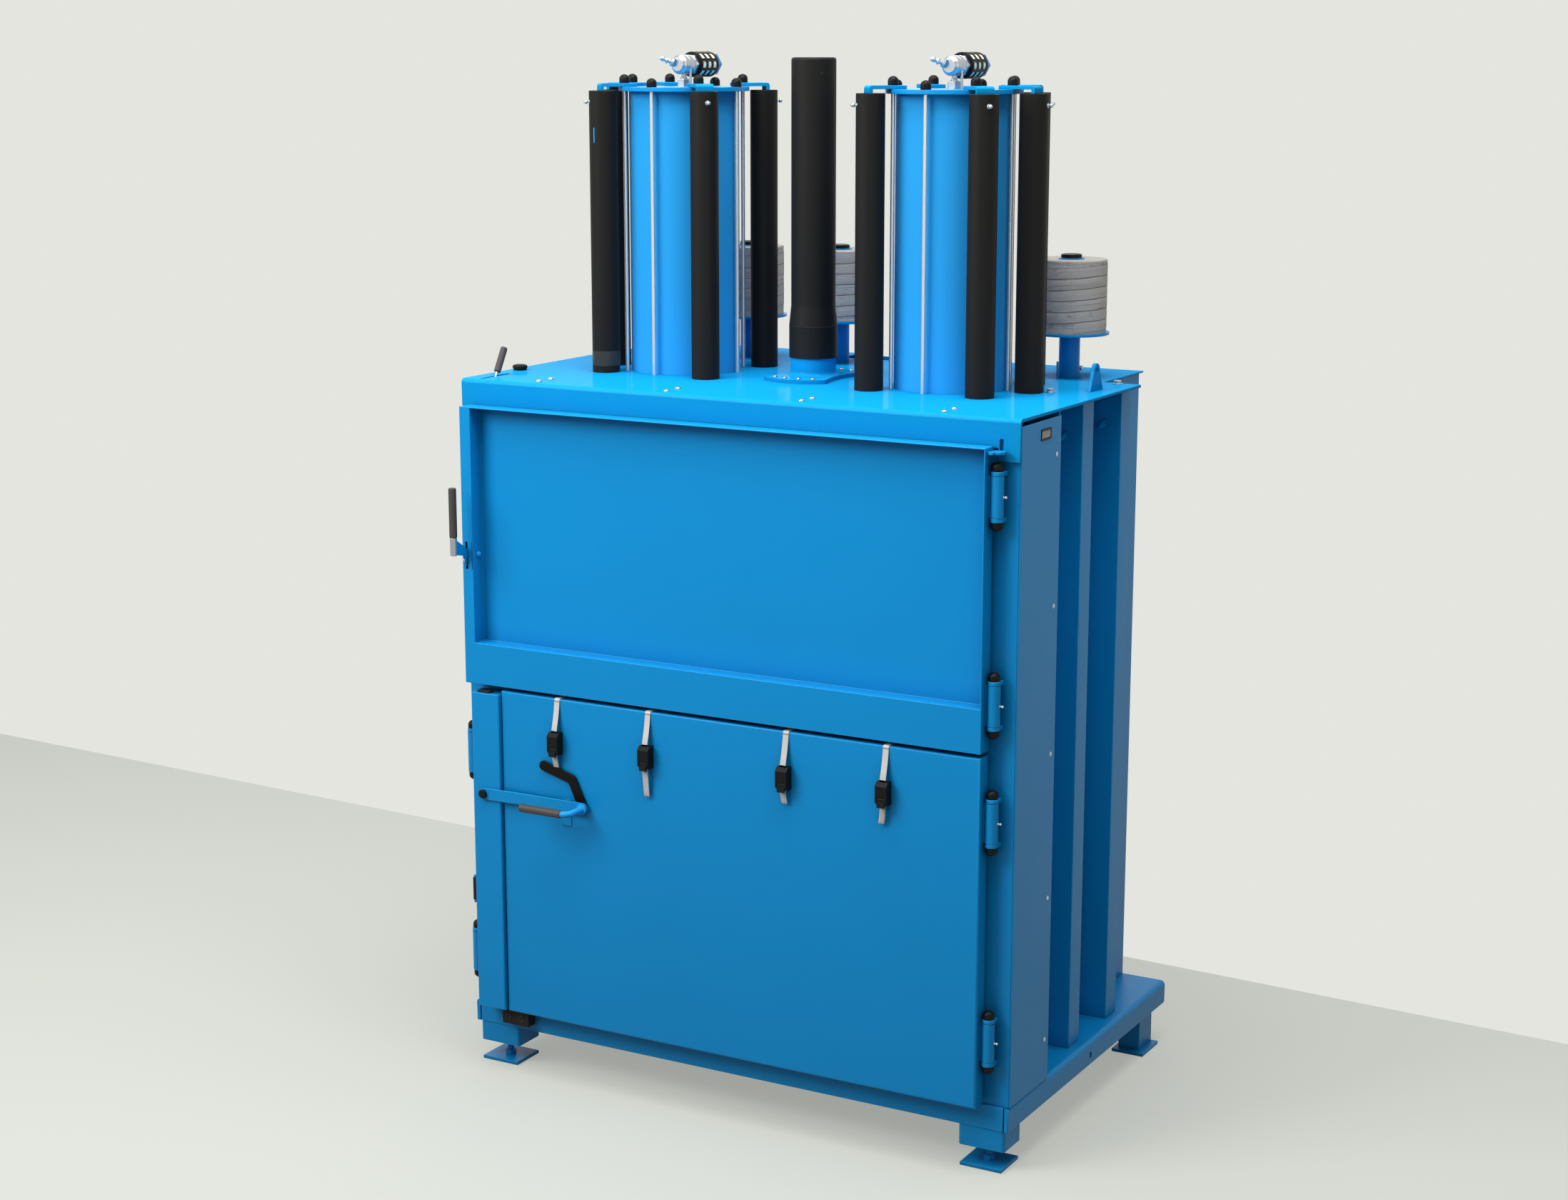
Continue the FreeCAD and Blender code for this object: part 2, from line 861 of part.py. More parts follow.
def build_hood():
    """The hood: one sheet bent down over the front as an apron."""
    apron_low = dim.hood_height - dim.apron_corner_drop
    outer, inner = dim.hood_bend, dim.hood_bend - dim.hood_sheet
    section = [
        (FRONT, apron_low), (POST_FRONT, apron_low), (POST_FRONT, HOOD_UNDER - inner),
        (POST_FRONT + inner, HOOD_UNDER, -inner), (HOOD_REAR, HOOD_UNDER),
        (HOOD_REAR, dim.hood_height), (FRONT + outer, dim.hood_height),
        (FRONT, dim.hood_height - outer, outer),
    ]
    sheet_metal = profile("hood_sheet", "YZ_Plane", section, dim.body_width, (-HALF, 0, 0))
    through = (HOOD_UNDER - OVER, dim.hood_height + OVER)
    front_wall = (FRONT - OVER, POST_FRONT + OVER)
    raised = block(
        "apron_edge", (-HALF - OVER, HALF - dim.apron_corner_width), front_wall,
        (apron_low - OVER, dim.hood_height - dim.apron_drop),
    )
    switch_slot = block(
        "switch_slot",
        (HINGE_X - dim.switch_slot_width / 2, HINGE_X + dim.switch_slot_width / 2), front_wall,
        (dim.hood_height - dim.switch_slot_low, dim.hood_height - dim.switch_slot_high),
    )
    slot_front = FRONT + dim.lever_slot_front
    lever_slot = block(
        "lever_slot", (LEVER_X - dim.lever_slot_width / 2, LEVER_X + dim.lever_slot_width / 2),
        (slot_front, slot_front + dim.lever_slot_length), through,
    )
    button_hole = drum(
        "button_hole", dim.button_stem_radius + dim.button_stem_clear, dim.hood_sheet + OVER * 2,
        (-HALF + dim.button_side, FRONT + dim.button_inset, through[0]),
    )
    rod_hole = drum(
        "rod_hole", dim.press_rod_radius + dim.press_rod_run, dim.hood_sheet + OVER * 2,
        (dim.cylinder_spread, CYLINDER_Y, through[0]),
    )
    guide_hole = drum(
        "guide_hole", dim.guide_radius + dim.guide_clear, dim.hood_sheet + OVER * 2, (0, GUIDE_Y, through[0]),
    )
    cuts = [raised, switch_slot, lever_slot, button_hole, rod_hole, guide_hole]
    holed = cut("hood_cut", sheet_metal, *cuts, mirrored("rod_hole_twin", rod_hole))
    bracket_x = LEVER_X + dim.lever_slot_width / 2
    eye = dim.lever_pivot_radius
    bracket = block(
        "lever_bracket", (bracket_x, bracket_x + dim.lever_bracket_thick),
        (LEVER_Y - eye, LEVER_Y + eye), (LEVER_Z - eye, HOOD_UNDER),
    )
    pin = drum(
        "lever_pin", dim.lever_pin_radius, dim.lever_slot_width + dim.lever_bracket_thick,
        (LEVER_X - dim.lever_slot_width / 2, LEVER_Y, LEVER_Z), "x",
    )
    node("hood", fuse("hood_solid", holed, bracket, pin))


def build_deck():
    """The rear deck plate, with the notch in its rear edge."""
    half = dim.deck_width / 2
    notch = dim.deck_notch_width / 2
    rear = BACK - dim.chamber_rear_inset
    deep = rear - dim.deck_notch_depth
    corners = [
        (-half, HOOD_REAR), (half, HOOD_REAR), (half, rear), (notch, rear), (notch, deep),
        (-notch, deep), (-notch, rear), (-half, rear),
    ]
    node("rear_deck", profile("deck", "XY_Plane", corners, dim.deck_sheet, (0, 0, HOOD_UNDER)))


# ---------------------------------------------------------------- chamber, posts and ribs

def bend_relief(name):
    """Room for the inside of the hood's bend, at the front top corner of what carries it."""
    inner = dim.hood_bend - dim.hood_sheet
    return block(
        name, (0, HALF), (POST_FRONT - OVER, POST_FRONT + inner), (HOOD_UNDER - inner, HOOD_UNDER + OVER),
    )


def build_chamber():
    """Side and rear walls of the baling chamber."""
    rear = BACK - dim.chamber_rear_inset
    tall = (BASE_TOP, HOOD_UNDER)
    side = block("side_wall", (WALL_OUT - dim.chamber_wall, WALL_OUT), (POST_FRONT, rear), tall)
    inner = WALL_OUT - dim.chamber_wall
    back_wall = block("back_wall", (-inner, inner), (rear - dim.chamber_wall, rear), tall)
    cleared = cut("side_wall_relieved", side, bend_relief("wall_relief"))
    walls = group("walls", cleared, mirrored("side_wall_twin", cleared), back_wall)
    node("chamber_walls", walls)


def build_posts():
    """Front posts: channels open to the outside, closed by the covers."""
    wall = dim.post_wall
    corners = [
        (WALL_OUT, POST_FRONT), (COVER_IN, POST_FRONT), (COVER_IN, POST_FRONT + wall),
        (WALL_OUT + wall, POST_FRONT + wall), (WALL_OUT + wall, POST_REAR - wall),
        (COVER_IN, POST_REAR - wall), (COVER_IN, POST_REAR), (WALL_OUT, POST_REAR),
    ]
    post = profile("post", "XY_Plane", corners, HOOD_UNDER - BASE_TOP, (0, 0, BASE_TOP))
    node("front_posts", both_sides("posts", cut("post_relieved", post, bend_relief("post_relief"))))


def build_ribs():
    """Side ribs: channels whose open side is closed by the chamber wall."""
    outer = WALL_OUT + dim.rib_height
    wall, half = dim.rib_wall, dim.rib_width / 2
    channel = [
        (WALL_OUT, -half), (outer, -half), (outer, half), (WALL_OUT, half),
        (WALL_OUT, half - wall), (outer - wall, half - wall), (outer - wall, wall - half),
        (WALL_OUT, wall - half),
    ]
    reach, tall = dim.ear_reach, dim.ear_height
    dome = (reach * reach + tall * tall) / (2 * tall)
    ears = []
    for name, from_front in (("rib_front", dim.rib_front), ("rib_rear", dim.rib_rear)):
        y = FRONT + from_front
        rib = profile(name, "XY_Plane", channel, HOOD_UNDER - BASE_TOP, (0, y, BASE_TOP))
        ear_low = HOOD_UNDER - dim.ear_top_gap - tall
        ear = profile(
            name + "_ear", "YZ_Plane", [(-reach, 0, dome), (0, 0), (0, tall)],
            dim.ear_thick, (WALL_OUT + dim.rib_height / 2, y - half, ear_low),
        )
        ribbed = fuse(name + "_eared", rib, ear)
        ears += [ribbed, mirrored(name + "_twin", ribbed)]
    node("side_ribs", group("ribs", *ears))


def build_covers():
    """Side covers over the posts, with the hour counter in the right one."""
    high = HOOD_UNDER - dim.cover_top_gap
    cover = block("cover", (COVER_IN, HALF), (POST_FRONT + dim.cover_front_gap, POST_REAR), (BASE_TOP, high))
    left = mirrored("cover_twin", cover)
    y0 = FRONT + dim.window_front
    y1 = y0 + dim.window_width
    z0 = dim.hood_height - dim.window_drop
    z1 = z0 + dim.window_height
    opening = block("window_hole", (COVER_IN - OVER, HALF + OVER), (y0, y1), (z0, z1))
    node("side_covers", group("covers", cut("cover_right", cover, opening), left))
    rim = dim.window_rim
    case = block("counter_case", (COVER_IN, HALF + dim.window_stand), (y0, y1), (z0, z1))
    face = block(
        "counter_recess", (HALF, HALF + dim.window_stand + OVER), (y0 + rim, y1 - rim),
        (z0 + rim, z1 - rim),
    )
    node("hour_counter", cut("counter", case, face))


# ---------------------------------------------------------------- hinges

RIGHT_HINGES = (
    UPPER_HIGH - dim.upper_hinge_inset, UPPER_LOW + dim.upper_hinge_inset,
    LOWER_HIGH - dim.lower_hinge_drop, LOWER_LOW + dim.lower_hinge_rise,
)
LEFT_HINGES = (STRIP_HIGH - dim.strip_hinge_drop, STRIP_LOW + dim.strip_hinge_rise)
EAR_NEAR = dim.hinge_barrel_length / 2 + dim.hinge_gap
EAR_FAR = EAR_NEAR + dim.hinge_ear_thick


def hinge_ear(name, x, side):
    """One ear: a ring round the pin that runs back to the post's front face."""
    thick = dim.hinge_ear_thick
    ring = drum(name + "_ring", dim.hinge_radius, thick, (x, HINGE_Y, 0))
    outer = (HALF - dim.hinge_foot_inset) * side
    across = (x, outer) if side > 0 else (outer, x)
    foot = block(name + "_foot", across, (HINGE_Y - 2, POST_FRONT), (0, thick))
    bore = drum(name + "_bore", dim.hinge_pin_radius, thick + OVER * 2, (x, HINGE_Y, -OVER))
    return cut(name, fuse(name + "_solid", ring, foot), bore)


def build_hinges():
    """Ears, pins and domed caps of all six hinges."""
    right_ear = hinge_ear("right_ear", HINGE_X, 1)
    left_ear = hinge_ear("left_ear", STRIP_HINGE_X, -1)
    pin = drum("hinge_pin", dim.hinge_pin_radius, EAR_FAR * 2, (0, 0, 0))
    cap = domed_cap("hinge_cap", dim.hinge_cap_radius, dim.hinge_cap_skirt, dim.hinge_cap_height)
    low_cap = doc.addObject("Part::Mirroring", "low_cap")
    low_cap.Source = cap
    low_cap.Normal = (0, 0, 1)
    ears, pins, caps = [], [], []
    for ear, x, heights in (
        (right_ear, HINGE_X, RIGHT_HINGES), (left_ear, STRIP_HINGE_X, LEFT_HINGES),
    ):
        for height in heights:
            ears.append(copy(ear, (0, 0, height + EAR_NEAR)))
            ears.append(copy(ear, (0, 0, height - EAR_FAR)))
            pins.append(copy(pin, (x, HINGE_Y, height - EAR_FAR)))
            caps.append(copy(cap, (x, HINGE_Y, height + EAR_FAR)))
            caps.append(copy(low_cap, (x, HINGE_Y, height - EAR_FAR)))
    node("hinge_ears", group("ear_group", *ears))
    node("hinge_pins", group("pin_group", *pins))
    node("hinge_caps", group("cap_group", *caps))


def hinge_barrel(name, x, height, leaf_x):
    """A barrel round the pin and the weld leaf that joins it to a door's edge."""
    low = height - dim.hinge_barrel_length / 2
    tube = drum(name + "_tube", dim.hinge_radius, dim.hinge_barrel_length, (x, HINGE_Y, low))
    leaf_half = dim.hinge_radius / 2
    span = (leaf_x, x) if leaf_x.value < x.value else (x, leaf_x)
    leaf = block(
        name + "_leaf", span, (HINGE_Y - leaf_half, HINGE_Y + leaf_half),
        (low, low + dim.hinge_barrel_length),
    )
    bore = drum(
        name + "_bore", dim.hinge_pin_radius + dim.hinge_run, dim.hinge_barrel_length + OVER * 2,
        (x, HINGE_Y, low - OVER),
    )
    return cut(name, fuse(name + "_solid", tube, leaf), bore)


# ---------------------------------------------------------------- doors

def build_upper_door():
    """The loading door: a tray open to the front, with a boxed stile and bottom rail."""
    left, right = -HALF + dim.upper_door_left, DOOR_RIGHT
    low, high = UPPER_LOW, UPPER_HIGH
    sheet_in = dim.door_sheet
    panel_front = DOOR_BACK
    slab = block("upper_slab", (left, right), (DOOR_FRONT, panel_front + sheet_in), (low, high))
    tray = block(
        "upper_tray", (left + dim.upper_stile, right - sheet_in), (DOOR_FRONT - OVER, panel_front),
        (low + dim.upper_rail, high - sheet_in),
    )
    z0 = LATCH_Z
    cavity = block(
        "stile_inside", (left + sheet_in, left + dim.upper_stile - sheet_in),
        (DOOR_FRONT + sheet_in, panel_front), (low + dim.upper_rail, high - sheet_in),
    )
    rail = block(
        "rail_inside", (left + sheet_in, right - sheet_in), (DOOR_FRONT + sheet_in, FRONT),
        (low + sheet_in, low + dim.upper_rail - sheet_in),
    )
    half_slot = dim.latch_plate / 2 + dim.latch_play
    slot = block(
        "latch_slot", (LATCH_X - half_slot, LATCH_X + half_slot),
        (DOOR_FRONT - OVER, DOOR_FRONT + sheet_in + OVER), (z0 - dim.latch_slot_low, z0 + dim.latch_slot_high),
    )
    pin = drum(
        "latch_pin", dim.latch_pin_radius, dim.upper_stile - sheet_in,
        (left + sheet_in / 2, LATCH_Y, z0), "x",
    )
    shell = cut("upper_shell", slab, tray, cavity, rail, slot)
    hinges = [
        hinge_barrel(f"upper_barrel_{number}", HINGE_X, height, DOOR_RIGHT)
        for number, height in enumerate(RIGHT_HINGES[:2], start=1)
    ]
    cam_z = high - dim.cam_below_top - dim.cam_thick
    cam_disc = drum("cam_disc", dim.cam_tip_radius, dim.cam_thick, (HINGE_X, HINGE_Y, cam_z))
    lobe = drum("cam_lobe", dim.cam_radius, dim.cam_thick, (HINGE_X, HINGE_Y, cam_z))
    keep = block(
        "cam_keep", (DOOR_RIGHT - sheet_in, HINGE_X), (HINGE_Y - dim.cam_radius, HINGE_Y),
        (cam_z, cam_z + dim.cam_thick),
    )
    quarter = doc.addObject("Part::Common", "cam_quarter")
    quarter.Base = lobe
    quarter.Tool = keep
    cam = fuse("cam", cam_disc, quarter)
    node("upper_door", fuse("upper_door_solid", shell, pin, cam, *hinges))


def build_latch():
    """The loading door's latch lever: a plate on a pin, a sleeve and a round grip."""
    reach = dim.latch_reach
    sleeve_low = dim.latch_sleeve_low
    sleeve_high = sleeve_low + dim.latch_sleeve_length
    plate_x = LATCH_X - dim.latch_plate / 2
    boss, edge = dim.latch_boss_radius, dim.latch_grip_round
    neck = dim.door_stand - dim.latch_pivot_stand + edge
    hook = dim.latch_hook_drop
    corners = [
        (0, -boss), (boss, 0, boss), (0, boss, boss), (-neck, boss * 2),
        (-reach, sleeve_high - edge), (-reach, sleeve_low + edge), (-neck - boss - edge, 0),
        (-neck - boss + edge, -hook), (-neck, -hook), (-neck, -boss),
    ]
    plate = profile(
        "latch_plate", "YZ_Plane", corners, dim.latch_plate,
        (plate_x, LATCH_Y, LATCH_Z),
        [(0, 0, dim.latch_pin_radius + dim.hinge_run)],
    )
    grip_y = LATCH_Y - reach
    sleeve = drum(
        "latch_sleeve", dim.latch_sleeve_radius, dim.latch_sleeve_length,
        (LATCH_X, grip_y, LATCH_Z + sleeve_low),
    )
    node("latch_lever", fuse("latch", plate, sleeve))
    radius = dim.latch_grip_radius
    length = dim.latch_grip_length
    grip = turned(
        "latch_handle",
        [(0, 0), (radius, 0), (radius, length - edge), (radius - edge, length, edge), (0, length)],
        (LATCH_X, grip_y, LATCH_Z + sleeve_high),
    )
    node("latch_grip", grip)


def build_lower_door():
    """The bale door: a tray folded from one sheet, open at the back."""
    left, right = LOWER_LEFT, DOOR_RIGHT
    low, high = LOWER_LOW, LOWER_HIGH
    depth = dim.door_stand - dim.door_gap
    tray = profile("lower_tray", "XZ_Plane", rectangle(left, right, low, high), depth, (0, DOOR_BACK, 0))
    front = -(DIMS["door_stand"] - DIMS["door_gap"])
    soften(tray, tray.Tip, dim.lower_door_bend, lambda box: box.YMax < front + 0.1)
    wall = dim.door_sheet
    inner = rectangle(left + wall, right - wall, low + wall, high - wall)
    hollow(tray, "XZ_Plane", inner, depth - wall)
    shaft_hole = drum(
        "shaft_hole", dim.lock_shaft_radius + dim.lock_shaft_run, dim.door_sheet + OVER * 2,
        (LOCK_X, DOOR_FRONT - OVER, LOCK_Z), "y",
    )
    hinges = [
        hinge_barrel(f"lower_barrel_{number}", HINGE_X, height, DOOR_RIGHT)
        for number, height in enumerate(RIGHT_HINGES[2:], start=1)
    ]
    keeper_x = LOCK_X - dim.keeper_offset
    keeper_z = LOCK_Z - dim.keeper_drop
    keeper = block(
        "keeper", (keeper_x, keeper_x + dim.keeper_width),
        (DOOR_FRONT - dim.keeper_thick, DOOR_FRONT), (keeper_z, keeper_z + dim.keeper_height),
    )
    node("lower_door", fuse("lower_door_solid", cut("lower_shell", tray, shaft_hole), keeper, *hinges))


def build_strip():
    """The locking strip on its own two hinges, a channel open at the back."""
    left = -HALF + dim.strip_left
    right = left + dim.strip_width
    depth = dim.door_stand - dim.door_gap + dim.strip_proud
    corners = rectangle(left, right, STRIP_LOW, STRIP_HIGH)
    channel = profile("strip_channel", "XZ_Plane", corners, depth, (0, DOOR_BACK, 0))
    front = -(DIMS["door_stand"] - DIMS["door_gap"] + DIMS["strip_proud"])
    soften(channel, channel.Tip, dim.strip_bend, lambda box: box.YMax < front + 0.1)
    wall = dim.door_sheet
    inner = rectangle(left + wall, right - wall, STRIP_LOW + wall, STRIP_HIGH - wall)
    hollow(channel, "XZ_Plane", inner, depth - wall)
    hinges = [
        hinge_barrel(f"strip_barrel_{number}", STRIP_HINGE_X, height, left)
        for number, height in enumerate(LEFT_HINGES, start=1)
    ]
    node("locking_strip", fuse("strip_solid", channel, *hinges))


# ---------------------------------------------------------------- lock of the lower door

ARM_BACK = DOOR_FRONT - dim.keeper_thick - dim.lock_arm_clear
ARM_FRONT = ARM_BACK - dim.lock_arm_thick
BAR_BACK = ARM_FRONT - dim.lock_bar_clear
BAR_FRONT = BAR_BACK - dim.lock_bar_thick
STRIP_FRONT = DOOR_FRONT - dim.strip_proud


def build_lock_bar():
    """The lock bar: a flat bar joggled over the edge of the locking strip."""
    half = dim.lock_bar_height / 2
    strip_edge = -HALF + dim.strip_left + dim.strip_width
    left = BOLT_X - half
    run = dim.strip_proud * 2
    thick = dim.lock_bar_thick
    step = STRIP_FRONT - dim.lock_bar_clear
    plan = [
        (left, step - thick), (strip_edge + run, step - thick), (strip_edge + run * 2, BAR_FRONT),
        (LOCK_X + half, BAR_FRONT), (LOCK_X + half, BAR_BACK), (strip_edge + run * 2, BAR_BACK),
        (strip_edge + run, step), (left, step),
    ]
    flat = profile("bar_flat", "XY_Plane", plan, dim.lock_bar_height, (0, 0, LOCK_Z - half))
    ends = doc.addObject("Part::Common", "bar_rounded")
    ends.Base = flat
    near, depth = BAR_FRONT - dim.strip_proud, dim.strip_proud * 2
    straight = block(
        "bar_middle", (BOLT_X, LOCK_X), (near, near + depth), (LOCK_Z - half, LOCK_Z + half),
    )
    right_end = drum("bar_right", half, depth, (LOCK_X, near, LOCK_Z), "y")
    left_end = drum("bar_left", half, depth, (BOLT_X, near, LOCK_Z), "y")
    ends.Tool = fuse("bar_envelope", straight, right_end, left_end)
    bore = dim.lock_shaft_radius + dim.lock_shaft_run
    hole = drum("bar_hole", bore, depth, (LOCK_X, near, LOCK_Z), "y")
    cap = domed_cap("bolt_cap", dim.lock_bolt_radius, dim.lock_bolt_height / 2, dim.lock_bolt_height)
    place(cap, (BOLT_X, step - thick, LOCK_Z), Rotation(Vector(1, 0, 0), 90))
    node("lock_bar", fuse("bar_solid", cut("bar_bored", ends, hole), cap))


def build_lock_arm():
    """The bent flat arm on the handle's shaft, rounded at both ends."""
    half = dim.lock_arm_width / 2
    run, rise = dim.lock_arm_run, dim.lock_arm_rise
    tip_run, tip_rise = dim.lock_tip_run, dim.lock_tip_rise
    first = root(run * run + rise * rise)
    second = root((tip_run - run) * (tip_run - run) + (tip_rise - rise) * (tip_rise - rise))
    lower_u, lower_v = -run / first * half, rise / first * half
    upper_u, upper_v = (run - tip_run) / second * half, (tip_rise - rise) / second * half
    miter = half * half / (half * half + lower_u * upper_u + lower_v * upper_v)
    corners = [
        (-lower_u, -lower_v, half), (lower_v, -lower_u, half), (-run + lower_v, rise - lower_u),
        (-run + upper_v, rise - upper_u), (-tip_run + upper_v, tip_rise - upper_u),
        (-tip_run + upper_u, tip_rise + upper_v, half), (-tip_run - upper_v, tip_rise + upper_u, half),
        (-run - (lower_v + upper_v) * miter, rise + (lower_u + upper_u) * miter), (-lower_v, lower_u),
    ]
    at = (LOCK_X, ARM_BACK, LOCK_Z)
    node("lock_arm", profile("arm_plate", "XZ_Plane", corners, dim.lock_arm_thick, at))


def build_lock_handle():
    """The cranked handle rod with its grip, and the short shaft through the door."""
    shaft, clear, thick = dim.lock_shaft_radius, dim.lock_bar_clear, dim.lock_boss_thick
    bar_side = BAR_FRONT - clear
    through = drum("front_shaft", shaft, ARM_FRONT - bar_side, (LOCK_X, bar_side, LOCK_Z), "y")
    boss_y = bar_side - thick
    boss = drum("lock_boss", dim.lock_boss_radius, thick, (LOCK_X, boss_y, LOCK_Z), "y")
    rod_y = DOOR_FRONT - dim.lock_rod_reach
    bend = dim.lock_rod_bend
    rod = drum("lock_rod", dim.lock_rod_radius, boss_y - rod_y - bend, (LOCK_X, rod_y + bend, LOCK_Z), "y")
    elbow = doc.addObject("Part::Torus", "lock_elbow")
    bind(elbow, "Radius1", bend)
    bind(elbow, "Radius2", dim.lock_rod_radius)
    elbow.Angle3 = 90
    place(elbow, (LOCK_X - bend, rod_y + bend, LOCK_Z), Rotation(Vector(0, 0, 1), -90))
    node("lock_handle", fuse("handle_solid", through, boss, rod, elbow))
    grip_x = LOCK_X - bend - dim.lock_grip_length
    grip = drum("grip_rod", dim.lock_grip_radius, dim.lock_grip_length, (grip_x, rod_y, LOCK_Z), "x")
    node("lock_grip", grip)
    inside = DOOR_FRONT + dim.door_sheet + clear
    inner = drum("inner_shaft", shaft, inside + thick - ARM_BACK, (LOCK_X, ARM_BACK, LOCK_Z), "y")
    nut = drum("shaft_nut", dim.lock_boss_radius, thick, (LOCK_X, inside, LOCK_Z), "y")
    node("lock_shaft", fuse("lock_shaft_solid", inner, nut))


# ---------------------------------------------------------------- strap ends and clamps

STRAP_XS = (
    -dim.strap_spread_outer, -dim.strap_spread_inner, dim.strap_spread_inner, dim.strap_spread_outer,
)
CLAMP_TOP = CLAMP_LOW + dim.clamp_height
CLAMP_BACK = DOOR_FRONT
CLAMP_FRONT = CLAMP_BACK - dim.clamp_depth
STRAP_Y = DOOR_FRONT - dim.strap_stand
CLAMP_PIN_Y = CLAMP_FRONT + dim.clamp_pin_inset
CLAMP_PIN_Z = CLAMP_LOW + dim.clamp_pin_rise


def build_straps():
    """Four strap ends: over the door's top edge, down the front and through the clamps."""
    thick, lay, bend = dim.strap_thick, dim.strap_lay, dim.lower_door_bend
    top = LOWER_HIGH + lay
    inside = DOOR_FRONT + dim.strap_inner_reach
    edge_y, edge_z = DOOR_FRONT + bend, LOWER_HIGH - bend
    face_y = DOOR_FRONT - lay
    entry = CLAMP_TOP + bend
    straps = []
    for x, tail in zip(STRAP_XS, STRAP_TAILS):
        end = CLAMP_LOW - tail
        tail_y = STRAP_Y + dim.strap_stand / 2
        run = [
            (inside, top), (edge_y, top), (face_y, edge_z, bend + lay), (STRAP_Y, entry),
            (STRAP_Y, CLAMP_LOW), (tail_y, end), (tail_y - thick, end),
            (STRAP_Y - thick, CLAMP_LOW), (STRAP_Y - thick, entry), (face_y - thick, edge_z),
            (edge_y, top + thick, -(bend + lay + thick)), (inside, top + thick),
        ]
        straps.append(profile("strap", "YZ_Plane", run, dim.strap_width, (x - dim.strap_width / 2, 0, 0)))
    node("door_straps", group("strap_group", *straps))


def build_clamps():
    """Cam clamps that grip the strap ends, each with its own lever."""
    low, top = CLAMP_LOW, CLAMP_TOP
    bevel, play = dim.clamp_bevel, dim.clamp_play
    half = dim.clamp_width / 2
    side = [
        (CLAMP_BACK, low), (CLAMP_BACK, top), (CLAMP_FRONT + bevel, top), (CLAMP_FRONT, top - bevel),
        (CLAMP_FRONT, low + bevel), (CLAMP_FRONT + bevel, low),
    ]
    housing = profile("clamp_side", "YZ_Plane", side, dim.clamp_width, (-half, 0, 0))
    strap_half = dim.strap_width / 2 + play
    channel = block(
        "clamp_channel", (-strap_half, strap_half), (STRAP_Y - dim.strap_thick - play, STRAP_Y + play),
        (low - OVER, top + OVER),
    )
    lever_half = dim.clamp_lever_width / 2
    mouth_half = lever_half + play
    swing = dim.clamp_lever_thick + play
    mouth = block(
        "clamp_mouth", (-mouth_half, mouth_half), (CLAMP_FRONT - OVER, CLAMP_PIN_Y + swing),
        (low - OVER, CLAMP_PIN_Z + swing),
    )
    pin = drum(
        "clamp_pin", dim.clamp_pin_radius, dim.clamp_width - 2,
        (1 - half, CLAMP_PIN_Y, CLAMP_PIN_Z), "x",
    )
    body = fuse("clamp_body", cut("clamp_housing", housing, channel, mouth), pin)
    node("clamp_bodies", group("clamp_group", *[copy(body, (x, 0, 0)) for x in STRAP_XS]))
    thick = dim.clamp_lever_thick
    reach = dim.clamp_lever_reach
    flare = dim.clamp_lever_flare
    tab = [
        (0, -thick), (thick, 0, thick), (0, thick, thick), (-thick, 0, thick),
        (-thick - flare, flare - reach), (flare - thick, -reach),
    ]
    lever = profile(
        "lever_tab", "YZ_Plane", tab, dim.clamp_lever_width, (-lever_half, CLAMP_PIN_Y, CLAMP_PIN_Z),
        [(0, 0, dim.clamp_pin_radius + dim.hinge_run)],
    )
    for number, x in enumerate(STRAP_XS, start=1):
        tab_copy = copy(lever, (x - lever_half, CLAMP_PIN_Y, CLAMP_PIN_Z))
        node(f"clamp_lever_{number}", group(f"clamp_lever_part_{number}", tab_copy))


# ---------------------------------------------------------------- small pieces by the lower door

def build_front_trim():
    """The rest block under the lower door and the stop pad on the left cover."""
    left = -HALF + dim.rest_block_left
    low = BASE_TOP - dim.rest_block_drop
    node("rest_block", block(
        "rest", (left, left + dim.rest_block_width), (FRONT - dim.rest_block_depth, FRONT),
        (low, low + dim.rest_block_height),
    ))
    y = POST_FRONT + dim.cover_front_gap
    node("stop_pad", block(
        "pad", (-HALF - dim.stop_pad_thick, -HALF), (y, y + dim.stop_pad_width),
        (dim.stop_pad_low, dim.stop_pad_low + dim.stop_pad_height),
    ))


# ---------------------------------------------------------------- press cylinders

